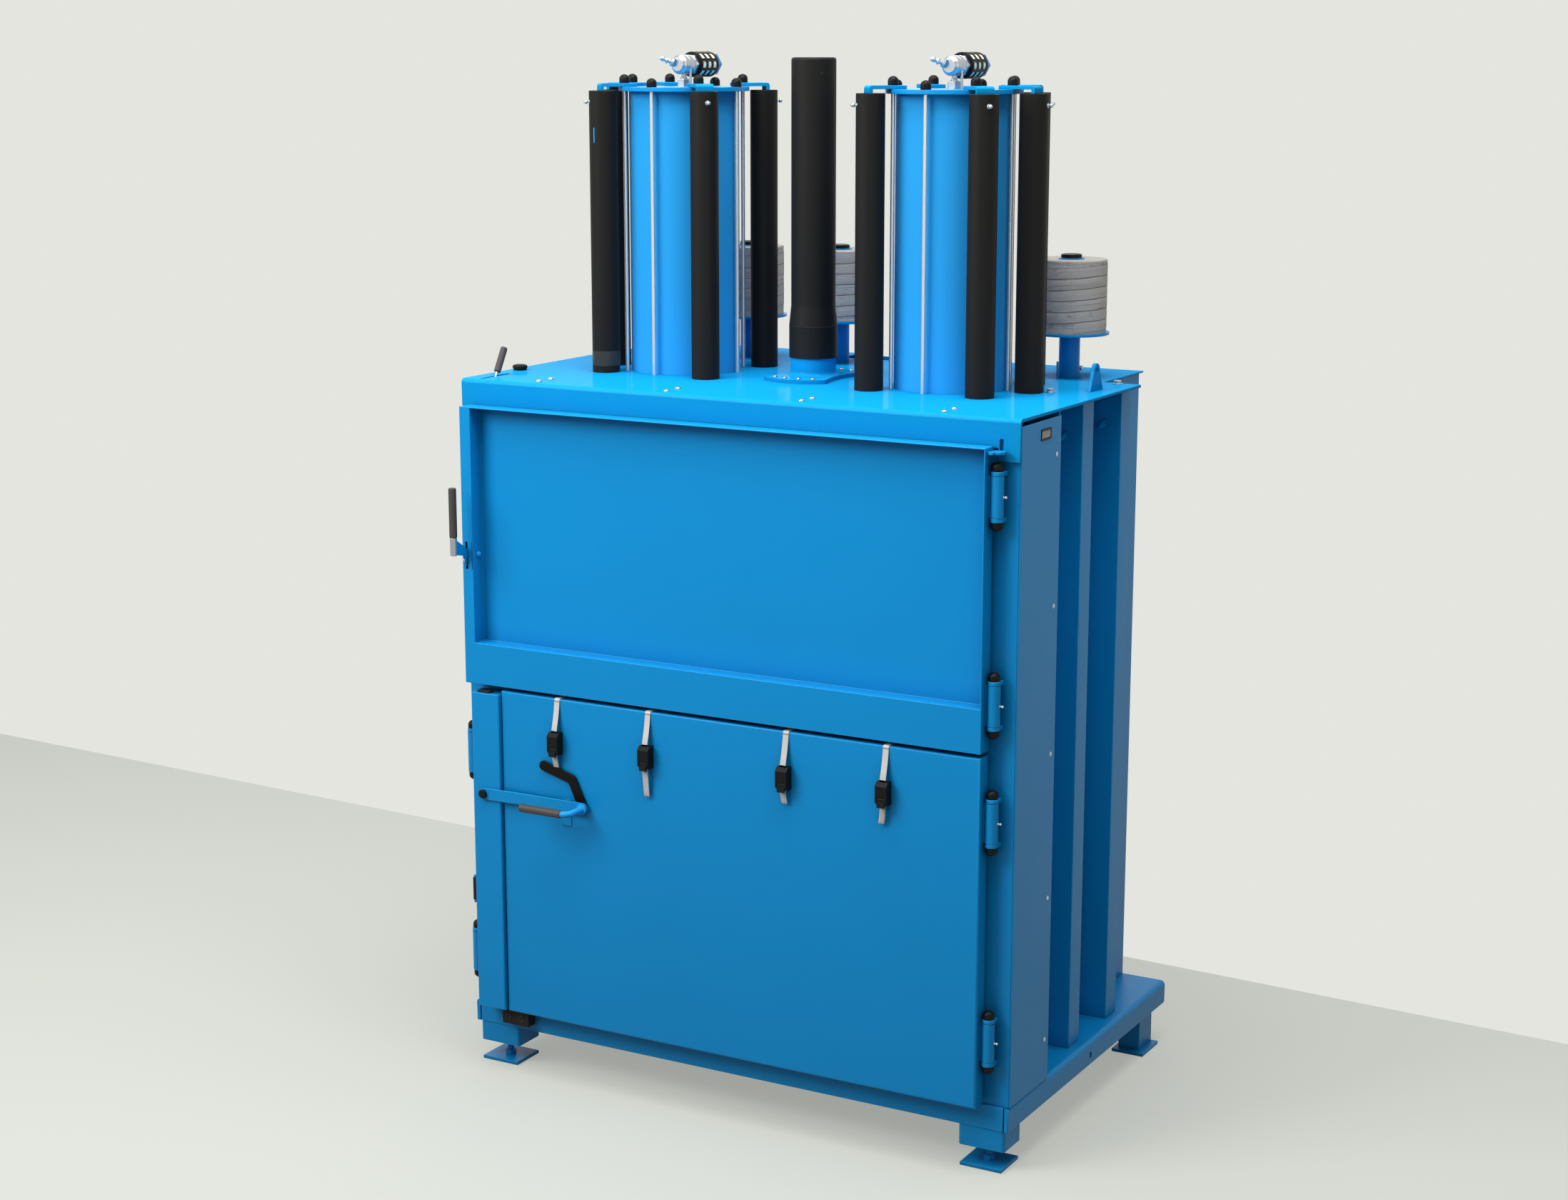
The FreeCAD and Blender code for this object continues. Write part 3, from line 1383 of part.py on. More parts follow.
def build_cylinders():
    """Barrels, heads, lugs, tie rods and cap nuts of both press cylinders."""
    radius, wall = dim.barrel_radius, dim.barrel_wall
    tube = turned(
        "barrel",
        [(radius - wall, 0), (radius, 0), (radius, dim.barrel_length), (radius - wall, dim.barrel_length)],
        (dim.cylinder_spread, CYLINDER_Y, dim.hood_height),
    )
    node("cylinder_barrels", both_sides("barrels", tube))
    head = drum("head_disc", dim.head_radius, dim.head_thick, (0, 0, 0))
    lug_low, lug_top = dim.head_thick, dim.head_thick + dim.lug_thick
    lug_foot = dim.tube_over
    turned_in = dim.lug_outer - dim.lug_thick
    lug_side = [
        (dim.lug_inner, lug_low), (turned_in, lug_low), (turned_in, lug_foot),
        (dim.lug_outer, lug_foot), (dim.lug_outer, lug_top), (dim.lug_inner, lug_top),
    ]
    lug_plate = profile("lug_side", "XZ_Plane", lug_side, dim.lug_width, (0, dim.lug_width / 2, 0))
    lug = group("lug", lug_plate)
    nut = domed_cap("cap_nut", dim.cap_nut_radius, dim.cap_nut_skirt, dim.cap_nut_height)
    heads, lugs, rods, nuts = [], [], [], []
    for side in (1, -1):
        axis_x = dim.cylinder_spread * side
        heads.append(copy(head, (axis_x, CYLINDER_Y, HEAD_LOW)))
        with_lug = [angle if side > 0 else (180 - angle) % 360 for angle in LUG_ANGLES]
        for angle in with_lug:
            lugs.append(copy(lug, (axis_x, CYLINDER_Y, HEAD_LOW), angle))
        for step in range(DIMS["tie_rod_count"]):
            angle = ROD_STEP * step
            x, y = around(axis_x, CYLINDER_Y, dim.tie_rod_circle, angle)
            top = HEAD_TOP + dim.lug_thick if angle in with_lug else HEAD_TOP
            rods.append(drum("tie_rod", dim.tie_rod_radius, dim.barrel_length, (x, y, dim.hood_height)))
            nuts.append(copy(nut, (x, y, top)))
    node("cylinder_heads", group("head_group", *heads))
    node("head_lugs", group("lug_group", *lugs))
    node("tie_rods", group("rod_group", *rods))
    node("cap_nuts", group("nut_group", *nuts))


def build_spring_tubes():
    """Tubes of the return springs round each cylinder, and the balled pins that hold the springs."""
    radius, inner = dim.tube_radius, dim.tube_radius - dim.tube_wall
    length = dim.barrel_length + dim.tube_over
    shell = turned("tube_shell", [
        (inner, 0), (radius, 0), (radius, length), (0, length), (0, length - dim.tube_wall),
        (inner, length - dim.tube_wall),
    ])
    stem, knob = dim.tube_pin_radius, dim.tube_ball_radius
    flat = knob * CROWN_FLAT
    neck, tip = dim.tube_pin_stand - knob, dim.tube_pin_stand + knob
    post = turned("tube_pin", [
        (0, 0), (stem, 0), (stem, neck), (knob, dim.tube_pin_stand), (flat, tip), (0, tip),
    ], (radius, 0, length - dim.tube_pin_drop), ALONG["x"])
    tube = group("tube", shell)
    pin = group("tube_pin_laid", post)
    tubes, pins = [], []
    for side in (1, -1):
        axis_x = dim.cylinder_spread * side
        for angle in LUG_ANGLES:
            angle = angle if side > 0 else (180 - angle) % 360
            x, y = around(axis_x, CYLINDER_Y, dim.tube_circle, angle)
            tubes.append(copy(tube, (x, y, dim.hood_height), angle))
            pins.append(copy(pin, (x, y, dim.hood_height), angle))
    node("spring_tubes", group("tube_group", *tubes))
    node("tube_pins", group("tube_pin_group", *pins))


# ---------------------------------------------------------------- air fittings

def build_air_fittings():
    """Chrome tees and silencers on top of the cylinders."""
    tee_y = -dim.tee_front
    across = dim.tee_rise
    stem = profile("stem_hex", "XY_Plane", hexagon(dim.stem_radius), dim.stem_height, (0, 0, 0))
    neck = drum("tee_neck", dim.neck_radius, across, (0, 0, 0))
    post = drum("tee_post", dim.tee_post_radius, across, (dim.tee_post_x, 0, 0))
    radius, face, length = dim.tee_radius, dim.tee_face_radius, dim.tee_length
    step = dim.tee_face_thick
    run = turned("tee_run", [
        (0, 0), (face, 0), (face, step), (radius, step * 2), (radius, length), (0, length),
    ], (0, tee_y, across), ALONG["y"])
    ring = profile("tee_hex", "XY_Plane", hexagon(dim.tee_ring_radius), dim.tee_ring_length)
    place(ring, (0, tee_y + length, across), ALONG["y"])
    aim = Rotation(Vector(0, 0, 1), Vector(-0.75, -0.55, 0.35))
    nipple = turned("nipple", [
        (0, 0), (dim.nipple_radius, 0), (dim.nipple_radius, dim.nipple_length / 2),
        (dim.nipple_collar, dim.nipple_length / 2), (dim.nipple_collar, dim.nipple_length * 2 / 3),
        (dim.nipple_radius, dim.nipple_length * 2 / 3), (dim.nipple_radius, dim.nipple_length),
        (0, dim.nipple_length),
    ], (0, tee_y + step, across), aim)
    tee = fuse("tee", stem, neck, post, run, ring, nipple)
    node("air_tees", group("tee_group", *[
        copy(tee, (dim.cylinder_spread * side, CYLINDER_Y, HEAD_TOP)) for side in (1, -1)
    ]))
    start_y = tee_y + length + dim.tee_ring_length
    build_silencers(start_y, across)


def build_silencers(start_y, across):
    """Windowed sleeves with a felt inside and a six-sided end cap."""
    outer, length = dim.silencer_radius, dim.silencer_length
    inner = outer - dim.silencer_wall
    tube = turned("silencer_tube", [
        (inner, 0), (outer, 0), (outer, length), (inner, length),
    ])
    wide = dim.silencer_row_width / 2
    sketch = sketch_on(tube, "XZ_Plane")
    for ring in range(3):
        first = dim.silencer_window_first + dim.silencer_window_pitch * ring - dim.silencer_window / 2
        outline(sketch, rectangle(-wide, wide, first, first + dim.silencer_window))
    doc.recompute()
    before = tube.Shape.Volume
    windows = tube.newObject("PartDesign::Pocket", "silencer_windows")
    windows.Profile = sketch
    windows.Reversed = True
    bind(windows, "Length", outer + OVER)
    rows = tube.newObject("PartDesign::PolarPattern", "silencer_window_rows")
    rows.Originals = [windows]
    rows.Axis = (origin_part(tube, "Z_Axis"), [""])
    rows.Angle = 360
    bind(rows, "Occurrences", dim.silencer_rows)
    tube.Tip = rows
    sketch.Visibility = False
    doc.recompute()
    if tube.Shape.Volume >= before:
        raise ValueError("the silencer's windows remove nothing")
    play = dim.silencer_play
    felt = drum("felt", inner - play, length, (0, 0, 0))
    cap = profile(
        "silencer_cap", "XY_Plane", hexagon(dim.silencer_cap_radius), dim.silencer_cap_length,
    )
    for name, piece, start in (
        ("silencer_bodies", tube, start_y), ("silencer_felts", felt, start_y),
        ("silencer_caps", cap, start_y + length),
    ):
        place(piece, (0, start, across), ALONG["y"])
        laid = group(name + "_laid", piece)
        node(name, group(name + "_pair", *[
            copy(laid, (dim.cylinder_spread * side, CYLINDER_Y, HEAD_TOP)) for side in (1, -1)
        ]))


# ---------------------------------------------------------------- guide column

def build_guide():
    """The waisted guide flange between the cylinders and the black sleeve over it."""
    thick, neck = dim.guide_flange_thick, dim.guide_neck_radius
    fillet, tall = dim.guide_neck_fillet, dim.guide_neck_height
    bore = dim.guide_radius + dim.guide_run
    cast = turned("guide_cast", [
        (bore, 0), (dim.guide_flange_radius, 0), (dim.guide_flange_radius, thick),
        (neck + fillet, thick), (neck, thick + fillet, -fillet), (neck, tall), (bore, tall),
    ], (0, GUIDE_Y, dim.hood_height))
    waist = drum("guide_waist", dim.guide_waist_radius, thick + OVER * 2,
                 (dim.cylinder_spread, CYLINDER_Y, dim.hood_height - OVER))
    node("guide_flange", cut("guide_flange_cut", cast, waist, mirrored("guide_waist_twin", waist)))
    foot, upper, edge = dim.sleeve_foot_radius, dim.sleeve_radius, dim.sleeve_edge
    low = dim.hood_height + tall
    inner = upper - dim.sleeve_wall
    base = dim.sleeve_foot_height - tall
    taper = dim.sleeve_taper_height - tall
    top = dim.sleeve_height - tall
    sleeve = turned("sleeve", [
        (inner, 0), (foot, 0), (foot, base), (upper, taper), (upper, top - edge),
        (upper - edge, top, edge), (0, top), (0, top - dim.sleeve_wall), (inner, top - dim.sleeve_wall),
    ], (0, GUIDE_Y, low))
    node("guide_sleeve", sleeve)


# ---------------------------------------------------------------- press platen

def build_platen():
    """The press platen with its stiffening ribs, and the rods and pistons that drive it."""
    half_w = WALL_OUT - dim.chamber_wall - dim.platen_side_gap
    front, rear = FRONT + dim.platen_end_gap, BACK - dim.platen_end_gap
    low = HOOD_UNDER - dim.platen_drop
    top = low + dim.platen_plate
    plate = block("platen_plate", (-half_w, half_w), (front, rear), (low, top))
    inset, thick = dim.platen_rim_inset, dim.platen_rib_thick
    ribs = []
    for number in range(-3, 4):
        x = (half_w - dim.platen_rib_margin) / 3 * number
        ribs.append(block("platen_rib", (x - thick / 2, x + thick / 2), (front + inset, rear - inset),
                          (top, top + dim.platen_rib)))
    for y in (front + inset, CYLINDER_Y - thick / 2, rear - inset - thick):
        ribs.append(block("platen_cross", (inset - half_w, half_w - inset), (y, y + thick),
                          (top, top + dim.platen_rib)))
    node("platen", fuse("platen_solid", plate, *ribs))
    deck = top + dim.platen_rib
    piston_low = HEAD_LOW - dim.piston_top_gap - dim.piston_thick
    axis = (dim.cylinder_spread, CYLINDER_Y)
    rod = drum("press_rod", dim.press_rod_radius, piston_low - deck, (*axis, deck))
    piston_radius = dim.barrel_radius - dim.barrel_wall - dim.piston_run
    piston = drum("piston", piston_radius, dim.piston_thick, (*axis, piston_low))
    driven = fuse("driven_rod", rod, piston)
    guide_top = dim.hood_height + dim.sleeve_height - dim.guide_top_gap
    guide = drum("guide_column", dim.guide_radius, guide_top - deck, (0, GUIDE_Y, deck))
    node("press_rods", group("rods_group", driven, mirrored("driven_twin", driven), guide))


# ---------------------------------------------------------------- strap reels

def halfway(start, start_way, end, end_way):
    """Where the two arcs of a biarc meet."""
    step = end - start
    ways = start_way + end_way
    spread = 2 * (1 - start_way.dot(end_way))
    reach = (math.sqrt(step.dot(ways) ** 2 + spread * step.dot(step)) - step.dot(ways)) / spread
    return (start + start_way * reach + end - end_way * reach) * 0.5


def arc_towards(start, way, end):
    """The arc that leaves a point in a direction and ends at another point."""
    chord = end - start
    inward = chord - way * chord.dot(way)
    inward.normalize()
    radius = chord.dot(chord) / (2 * inward.dot(chord))
    centre = start + inward * radius
    middle = ((start + end) * 0.5 - centre).normalize() * radius + centre
    return Part.Arc(start, middle, end).toShape()


def wound_band():
    """The outer layer of a strap reel: one flat band wound in a helix, edge to edge."""
    radius, pitch, turns = DIMS["reel_band_radius"], DIMS["band_pitch"], DIMS["band_turns"]
    width, thick = DIMS["band_width"], DIMS["band_thick"]
    climb = pitch / (2 * math.pi)

    def spot(angle):
        return Vector(radius * math.cos(angle), radius * math.sin(angle), climb * angle)

    def way(angle):
        return Vector(-radius * math.sin(angle), radius * math.cos(angle), climb).normalize()

    arcs = []
    for step in range(round(turns * 2)):
        low, high = math.pi * step, math.pi * (step + 1)
        joint = halfway(spot(low), way(low), spot(high), way(high))
        arcs.append(arc_towards(spot(low), way(low), joint))
        arcs.append(arc_towards(spot(high), -way(high), joint))
    path = Part.Wire(Part.__sortEdges__(arcs))
    out = Vector(1, 0, 0)
    over = way(0).cross(out)
    ring = [
        spot(0) + out * (side * thick / 2) + over * (end * width / 2)
        for side, end in ((-1, -1), (1, -1), (1, 1), (-1, 1))
    ]
    sweep = Part.BRepOffsetAPI.MakePipeShell(path)
    sweep.setBiNormalMode(Vector(0, 0, 1))
    sweep.add(Part.makePolygon(ring + ring[:1]))
    sweep.build()
    sweep.makeSolid()
    band = sweep.shape()
    drift = band.Volume / (width * thick * path.Length)
    least = pitch * math.cos(math.atan2(climb, radius)) - width
    print(f"strap band: {turns} turns, volume {drift:.4f} of its section times its length")
    print(f"strap band: least gap between turns {least:.2f} mm")
    return band


def build_reels():
    """Reel posts with their plates, the reels of strap and the retaining caps."""
    post_r, plate_r = dim.reel_post_radius, dim.reel_plate_radius
    plate_low = dim.reel_post_height
    plate_high = plate_low + dim.reel_plate_thick
    spindle_top = plate_high + dim.reel_height + dim.reel_lift * 2
    post = turned("reel_post", [
        (0, 0), (post_r, 0), (post_r, plate_low), (plate_r, plate_low), (plate_r, plate_high),
        (dim.reel_spindle_radius, plate_high), (dim.reel_spindle_radius, spindle_top), (0, spindle_top),
    ])
    cap_r, cap_high = dim.reel_cap_radius, dim.reel_disc_thick + dim.reel_cap_height
    edge = dim.reel_cap_edge
    cap = turned("reel_cap", [
        (0, 0), (dim.reel_disc_radius, 0), (dim.reel_disc_radius, dim.reel_disc_thick),
        (cap_r, dim.reel_disc_thick), (cap_r, cap_high - edge), (cap_r - edge, cap_high), (0, cap_high),
    ])
    node("reel_posts", group("post_group", *[copy(post, (x, REEL_Y, DECK_TOP)) for x in REEL_XS]))
    node("reel_caps", group("reel_cap_group", *[
        copy(cap, (x, REEL_Y, DECK_TOP + spindle_top)) for x in REEL_XS
    ]))
    core_radius = dim.reel_band_radius - dim.band_thick / 2 - dim.band_lay
    bore = dim.reel_spindle_radius + dim.reel_bore_clear
    core = turned("reel_core", [
        (bore, 0), (core_radius, 0), (core_radius, dim.reel_height), (bore, dim.reel_height),
    ])
    band = doc.addObject("Part::Feature", "reel_band")
    band.Shape = wound_band()
    band_rise = (dim.reel_height - dim.band_pitch * dim.band_turns) / 2
    band.Placement = Placement(Vector(0, 0, band_rise.value), ABOUT_Z)
    reel = group("reel", core, band)
    for number, x in enumerate(REEL_XS, start=1):
        node(f"strap_reel_{number}", group(f"reel_part_{number}", copy(reel, (x, REEL_Y, REEL_LOW))))


def build_valve():
    """The small shut-off valve on the rear deck, with its knob."""
    x, y = dim.deck_width / 2 - dim.valve_side, FRONT + dim.valve_inset
    half_w, half_d = dim.valve_width / 2, dim.valve_depth / 2
    corners = rounded_rectangle(-half_w, half_w, -half_d, half_d, dim.valve_round)
    body = profile("valve_body", "XY_Plane", corners, dim.valve_height, (x, y, DECK_TOP))
    port, hose, length = dim.valve_port_radius, dim.valve_hose_radius, dim.valve_port_length
    nozzle = turned("valve_port", [
        (0, 0), (port, 0), (port, length / 3), (hose, length / 3), (hose, length), (0, length),
    ], (x + half_w, y, DECK_TOP + dim.valve_height / 2), ALONG["x"])
    top = DECK_TOP + dim.valve_height
    stem = drum("valve_stem", dim.valve_stem_radius, dim.valve_stem_height, (x, y, top))
    node("valve_block", fuse("valve_solid", body, nozzle, stem))
    tall = dim.valve_knob_height
    dome = domed_cap("valve_dome", dim.valve_knob_radius, tall * 2 / 3, tall)
    place(dome, (x, y, top + dim.hinge_gap))
    bore = dim.valve_stem_radius + dim.hinge_run
    well = drum("knob_well", bore, dim.valve_stem_height + 1, (x, y, top))
    node("valve_knob", cut("knob", dome, well))


# ---------------------------------------------------------------- hood fittings

def build_lifting_lugs():
    half, tall, tip = dim.lifting_lug_length / 2, dim.lifting_lug_height, dim.lifting_lug_round
    y = FRONT + dim.lifting_lug_inset
    lug = profile(
        "lifting_plate", "YZ_Plane",
        [(-half, 0), (half, 0), (tip, tall - tip), (0, tall, tip), (-tip, tall - tip, tip)],
        dim.lifting_lug_thick,
        (HALF - dim.lifting_lug_side - dim.lifting_lug_thick / 2, y, dim.hood_height),
        [(0, tall - tip, dim.lifting_lug_hole)],
    )
    node("lifting_lugs", both_sides("lifting_pair", lug))


def build_hood_bolts():
    """Domed bolts near the front edge and hexagon bolts on washers at the sides."""
    radius, rise = dim.hood_bolt_radius, dim.hood_bolt_height
    domed = turned("domed_bolt", [(0, 0), (radius, 0), (radius * CROWN_FLAT, rise), (0, rise)])
    washer = drum("washer", dim.washer_radius, dim.washer_thick, (0, 0, 0))
    head = profile("hex_head", "XY_Plane", hexagon(dim.hex_bolt_radius), dim.hex_bolt_height,
                   (0, 0, dim.washer_thick))
    hexed = fuse("hex_bolt", washer, head)
    bolts = []
    for side in (-1, 1):
        for across in (dim.hood_bolt_outer, dim.hood_bolt_inner):
            for inset in (dim.hood_bolt_front, dim.hood_bolt_rear):
                bolts.append(copy(domed, (across * side, FRONT + inset, dim.hood_height)))
        for x, inset in (
            (dim.cylinder_spread + dim.hex_bolt_out, dim.hex_bolt_inset),
            (HALF - dim.corner_bolt_side, dim.corner_bolt_inset),
        ):
            bolts.append(copy(hexed, (x * side, FRONT + inset, dim.hood_height)))
    node("hood_bolts", group("bolt_group", *bolts))


def build_lever():
    """The control lever on its pin below the hood's slot, leaning back at rest."""
    lean = Rotation(Vector(1, 0, 0), -DIMS["lever_lean"])
    reach = dim.lever_root + dim.hood_sheet + dim.lever_neck
    stem = drum("lever_rod", dim.lever_radius, reach, (LEVER_X, LEVER_Y, LEVER_Z))
    place(stem, (LEVER_X, LEVER_Y, LEVER_Z), lean)
    start = (LEVER_X - dim.lever_eye_width / 2, LEVER_Y, LEVER_Z)
    eye = drum("lever_eye", dim.lever_pivot_radius, dim.lever_eye_width, start, "x")
    bore = drum("lever_bore", dim.lever_pin_radius + dim.hinge_run, dim.lever_eye_width, start, "x")
    node("lever_stem", cut("lever_stem_bored", fuse("lever_stem_solid", stem, eye), bore))
    radius, length, edge = dim.lever_grip_radius, dim.lever_grip_length, dim.lever_grip_round
    out = reach * sine(dim.lever_lean)
    rise = reach * cosine(dim.lever_lean)
    grip = turned("lever_handle", [
        (0, 0), (radius, 0), (radius, length - edge), (radius - edge, length, edge), (0, length),
    ], (LEVER_X, LEVER_Y + out, LEVER_Z + rise), lean)
    node("lever_grip", grip)


def build_button():
    """The mushroom push button on the hood."""
    radius, tall = dim.button_radius, dim.button_height
    dome = (radius * radius + tall * tall / 4) / tall
    x, y = -HALF + dim.button_side, FRONT + dim.button_inset
    cap = turned("button_cap", [
        (0, 0), (radius, 0), (radius, tall / 2), (0, tall, dome),
    ], (x, y, dim.hood_height + dim.button_gap))
    stem = drum("button_stem", dim.button_stem_radius, dim.button_stem_length,
                (x, y, dim.hood_height + dim.button_gap - dim.button_stem_length))
    node("push_button", fuse("button", cap, stem))


# ---------------------------------------------------------------- assembly and output

def check(thing):
    """Stop if an object of the document failed."""
    faults = [state for state in thing.State if state in ("Invalid", "Error")]
    if faults:
        raise ValueError(f"{thing.Name} ({thing.Label}) is {faults}")


def export_nodes():
    """Write one STEP file for each sub-part."""
    os.makedirs("parts", exist_ok=True)
    for piece in nodes:
        shape = piece.Shape
        if shape.isNull() or not shape.isValid():
            raise ValueError(piece.Label + " has no valid shape")
        shape.exportStep(f"parts/{piece.Label}.step")
    print(f"{len(nodes)} sub-parts written")


def main():
    build_base()
    build_feet()
    build_hood()
    build_deck()
    build_chamber()
    build_posts()
    build_ribs()
    build_covers()
    build_hinges()
    build_upper_door()
    build_latch()
    build_lower_door()
    build_strip()
    build_lock_bar()
    build_lock_arm()
    build_lock_handle()
    build_straps()
    build_clamps()
    build_front_trim()
    build_cylinders()
    build_spring_tubes()
    build_air_fittings()
    build_guide()
    build_platen()
    build_reels()
    build_valve()
    build_lifting_lugs()
    build_hood_bolts()
    build_lever()
    build_button()
    doc.recompute()
    for thing in doc.Objects:
        check(thing)
    export_nodes()


main()
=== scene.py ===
"""The dressed recycling baler: finishes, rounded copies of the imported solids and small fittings."""

import logging
import math
from dataclasses import dataclass
from enum import Enum

import bmesh
import bpy
from mathutils import Matrix, Vector


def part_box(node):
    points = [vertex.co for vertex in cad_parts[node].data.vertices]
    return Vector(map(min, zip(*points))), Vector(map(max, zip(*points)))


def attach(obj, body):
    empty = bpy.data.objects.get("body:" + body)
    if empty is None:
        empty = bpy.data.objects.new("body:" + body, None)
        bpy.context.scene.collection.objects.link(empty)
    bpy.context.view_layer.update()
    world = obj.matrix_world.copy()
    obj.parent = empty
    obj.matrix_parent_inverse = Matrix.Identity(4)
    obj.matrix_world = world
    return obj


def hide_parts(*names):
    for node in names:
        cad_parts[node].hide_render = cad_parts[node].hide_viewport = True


LOG = logging.getLogger("baler")
MM = 0.001
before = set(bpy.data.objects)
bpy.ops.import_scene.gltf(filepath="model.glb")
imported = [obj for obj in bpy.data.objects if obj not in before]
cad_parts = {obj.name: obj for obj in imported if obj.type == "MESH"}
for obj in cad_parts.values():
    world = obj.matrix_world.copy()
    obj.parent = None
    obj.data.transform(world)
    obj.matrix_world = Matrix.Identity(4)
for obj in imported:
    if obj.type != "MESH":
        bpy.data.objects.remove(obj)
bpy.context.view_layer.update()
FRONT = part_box("base_frame")[0].y
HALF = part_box("base_frame")[1].x / MM
HOOD_TOP = 1646.0
DOOR_FACE = -45.0
SIDES = (-1, 1)
UP, DOWN, RIGHT, AHEAD, BACK = (0, 0, 1), (0, 0, -1), (1, 0, 0), (0, -1, 0), (0, 1, 0)

Colour = tuple[float, float, float]
Outline = list[tuple[float, float]]
Form = bmesh.types.BMesh
Socket = bpy.types.NodeSocket
Outputs = bpy.types.bpy_prop_collection


def spot(x: float, y: float, z: float) -> Vector:
    """A place in millimetres from the middle of the base's front edge, at floor level."""
    return Vector((x * MM, FRONT + y * MM, z * MM))


def moved(place: Vector, x: float, y: float, z: float) -> Vector:
    """A place moved by some millimetres."""
    return place + Vector((x, y, z)) * MM


def linear(*colour: float) -> tuple[float, float, float, float]:
    """A display colour from 0 to 255 as Blender's linear colour.

    Args:
        colour: red, green and blue.

    Returns:
        The linear colour with its alpha.
    """
    shares = [value / 255 for value in colour]
    return *(share / 12.92 if share <= 0.04045 else ((share + 0.055) / 1.055) ** 2.4 for share in shares), 1.0


class Slot(Enum):
    """The record's material slots."""

    BLUE = "blue_paint"
    STEEL = "zinc_steel"
    ROD = "bright_rod"
    CHROME = "chrome_plate"
    BLACK = "black_plastic"
    RUBBER = "black_rubber"
    FELT = "pale_felt"
    ANODISED = "blue_anodised"
    STRAP = "white_strap"


# ---------------- shader nodes


@dataclass(frozen=True)
class Net:
    """A node tree with short ways to add wired nodes."""

    tree: bpy.types.NodeTree

    def fill(self, node: bpy.types.Node, inputs: dict) -> bpy.types.Node:
        """Link or set a node's inputs.

        Args:
            node: the node.
            inputs: a socket or a constant by the input's name or number.

        Returns:
            The same node.
        """
        for key, value in inputs.items():
            if isinstance(value, Socket):
                self.tree.links.new(value, node.inputs[key])
            else:
                node.inputs[key].default_value = value
        return node

    def add(self, kind: str, inputs: dict, **settings: object) -> Outputs:
        """Add a node.

        Args:
            kind: Blender's name for it, after ShaderNode.
            inputs: a socket or a constant by the input's name or number.
            settings: the node's own properties.

        Returns:
            The node's outputs.
        """
        node = self.tree.nodes.new(f"ShaderNode{kind}")
        for name, value in settings.items():
            setattr(node, name, value)
        return self.fill(node, inputs).outputs

    def math(self, operation: str, first: Socket | float, second: Socket | float) -> Socket:
        """The result of a Math node over sockets or numbers."""
        return self.add("Math", {0: first, 1: second}, operation=operation)["Value"]

    def spread(self, value: Socket, low: float, high: float) -> Socket:
        """A value turned to 0 at low and 1 at high, held between."""
        return self.add("MapRange", {"From Min": low, "From Max": high, "Value": value})["Result"]

    def noise(self, place: Socket, scale: Socket | float, detail: float) -> Socket:
        """A noise texture's value, from 0 to 1."""
        return self.add("TexNoise", {"Detail": detail, "Vector": place, "Scale": scale})["Fac"]

    def centred(self, value: Socket) -> Socket:
        """A value from 0 to 1 turned to one from about -1 to 1."""
        return self.math("MULTIPLY", self.math("SUBTRACT", value, 0.5), 2.6)

    def stretched(self, along: Socket, by: float, across: Socket, over: float) -> Socket:
        """Coordinates made of two sockets, each scaled."""
        return self.add("CombineXYZ", {"X": self.math("MULTIPLY", along, by),
                                       "Y": self.math("MULTIPLY", across, over)})["Vector"]

    def blend(self, share: Socket, under: Socket | tuple, over: Socket | tuple) -> Socket:
        """One colour laid over another by a share."""
        return self.add("Mix", {"Factor": share, "A": under, "B": over}, data_type="RGBA")["Result"]

    def mix_surface(self, share: Socket, first: Socket, second: Socket) -> None:
        """Give the tree's output two shaders mixed by a share."""
        mix = self.add("MixShader", {"Fac": share, 1: first, 2: second})["Shader"]
        self.fill(next(node for node in self.tree.nodes if "Output" in node.name), {"Surface": mix})

    def seen_directly(self) -> Socket:
        """1 for camera, glossy and transmission rays, else 0."""
        ray = self.add("LightPath", {})
        first = self.math("MAXIMUM", ray["Is Camera Ray"], ray["Is Glossy Ray"])
        return self.math("MAXIMUM", first, ray["Is Transmission Ray"])

    def place(self, name: str, **values: Socket | float | tuple) -> Outputs:
        """Put a shared group among the nodes, filled at its first use.

        Args:
            name: the group's name, which is also that of its method.
            values: sockets or constants by the input's name.

        Returns:
            The group's outputs.
        """
        if name not in bpy.data.node_groups:
            getattr(SharedGroup(bpy.data.node_groups.new(name, "ShaderNodeTree")), name)()
        return self.add("Group", values, node_tree=bpy.data.node_groups[name])


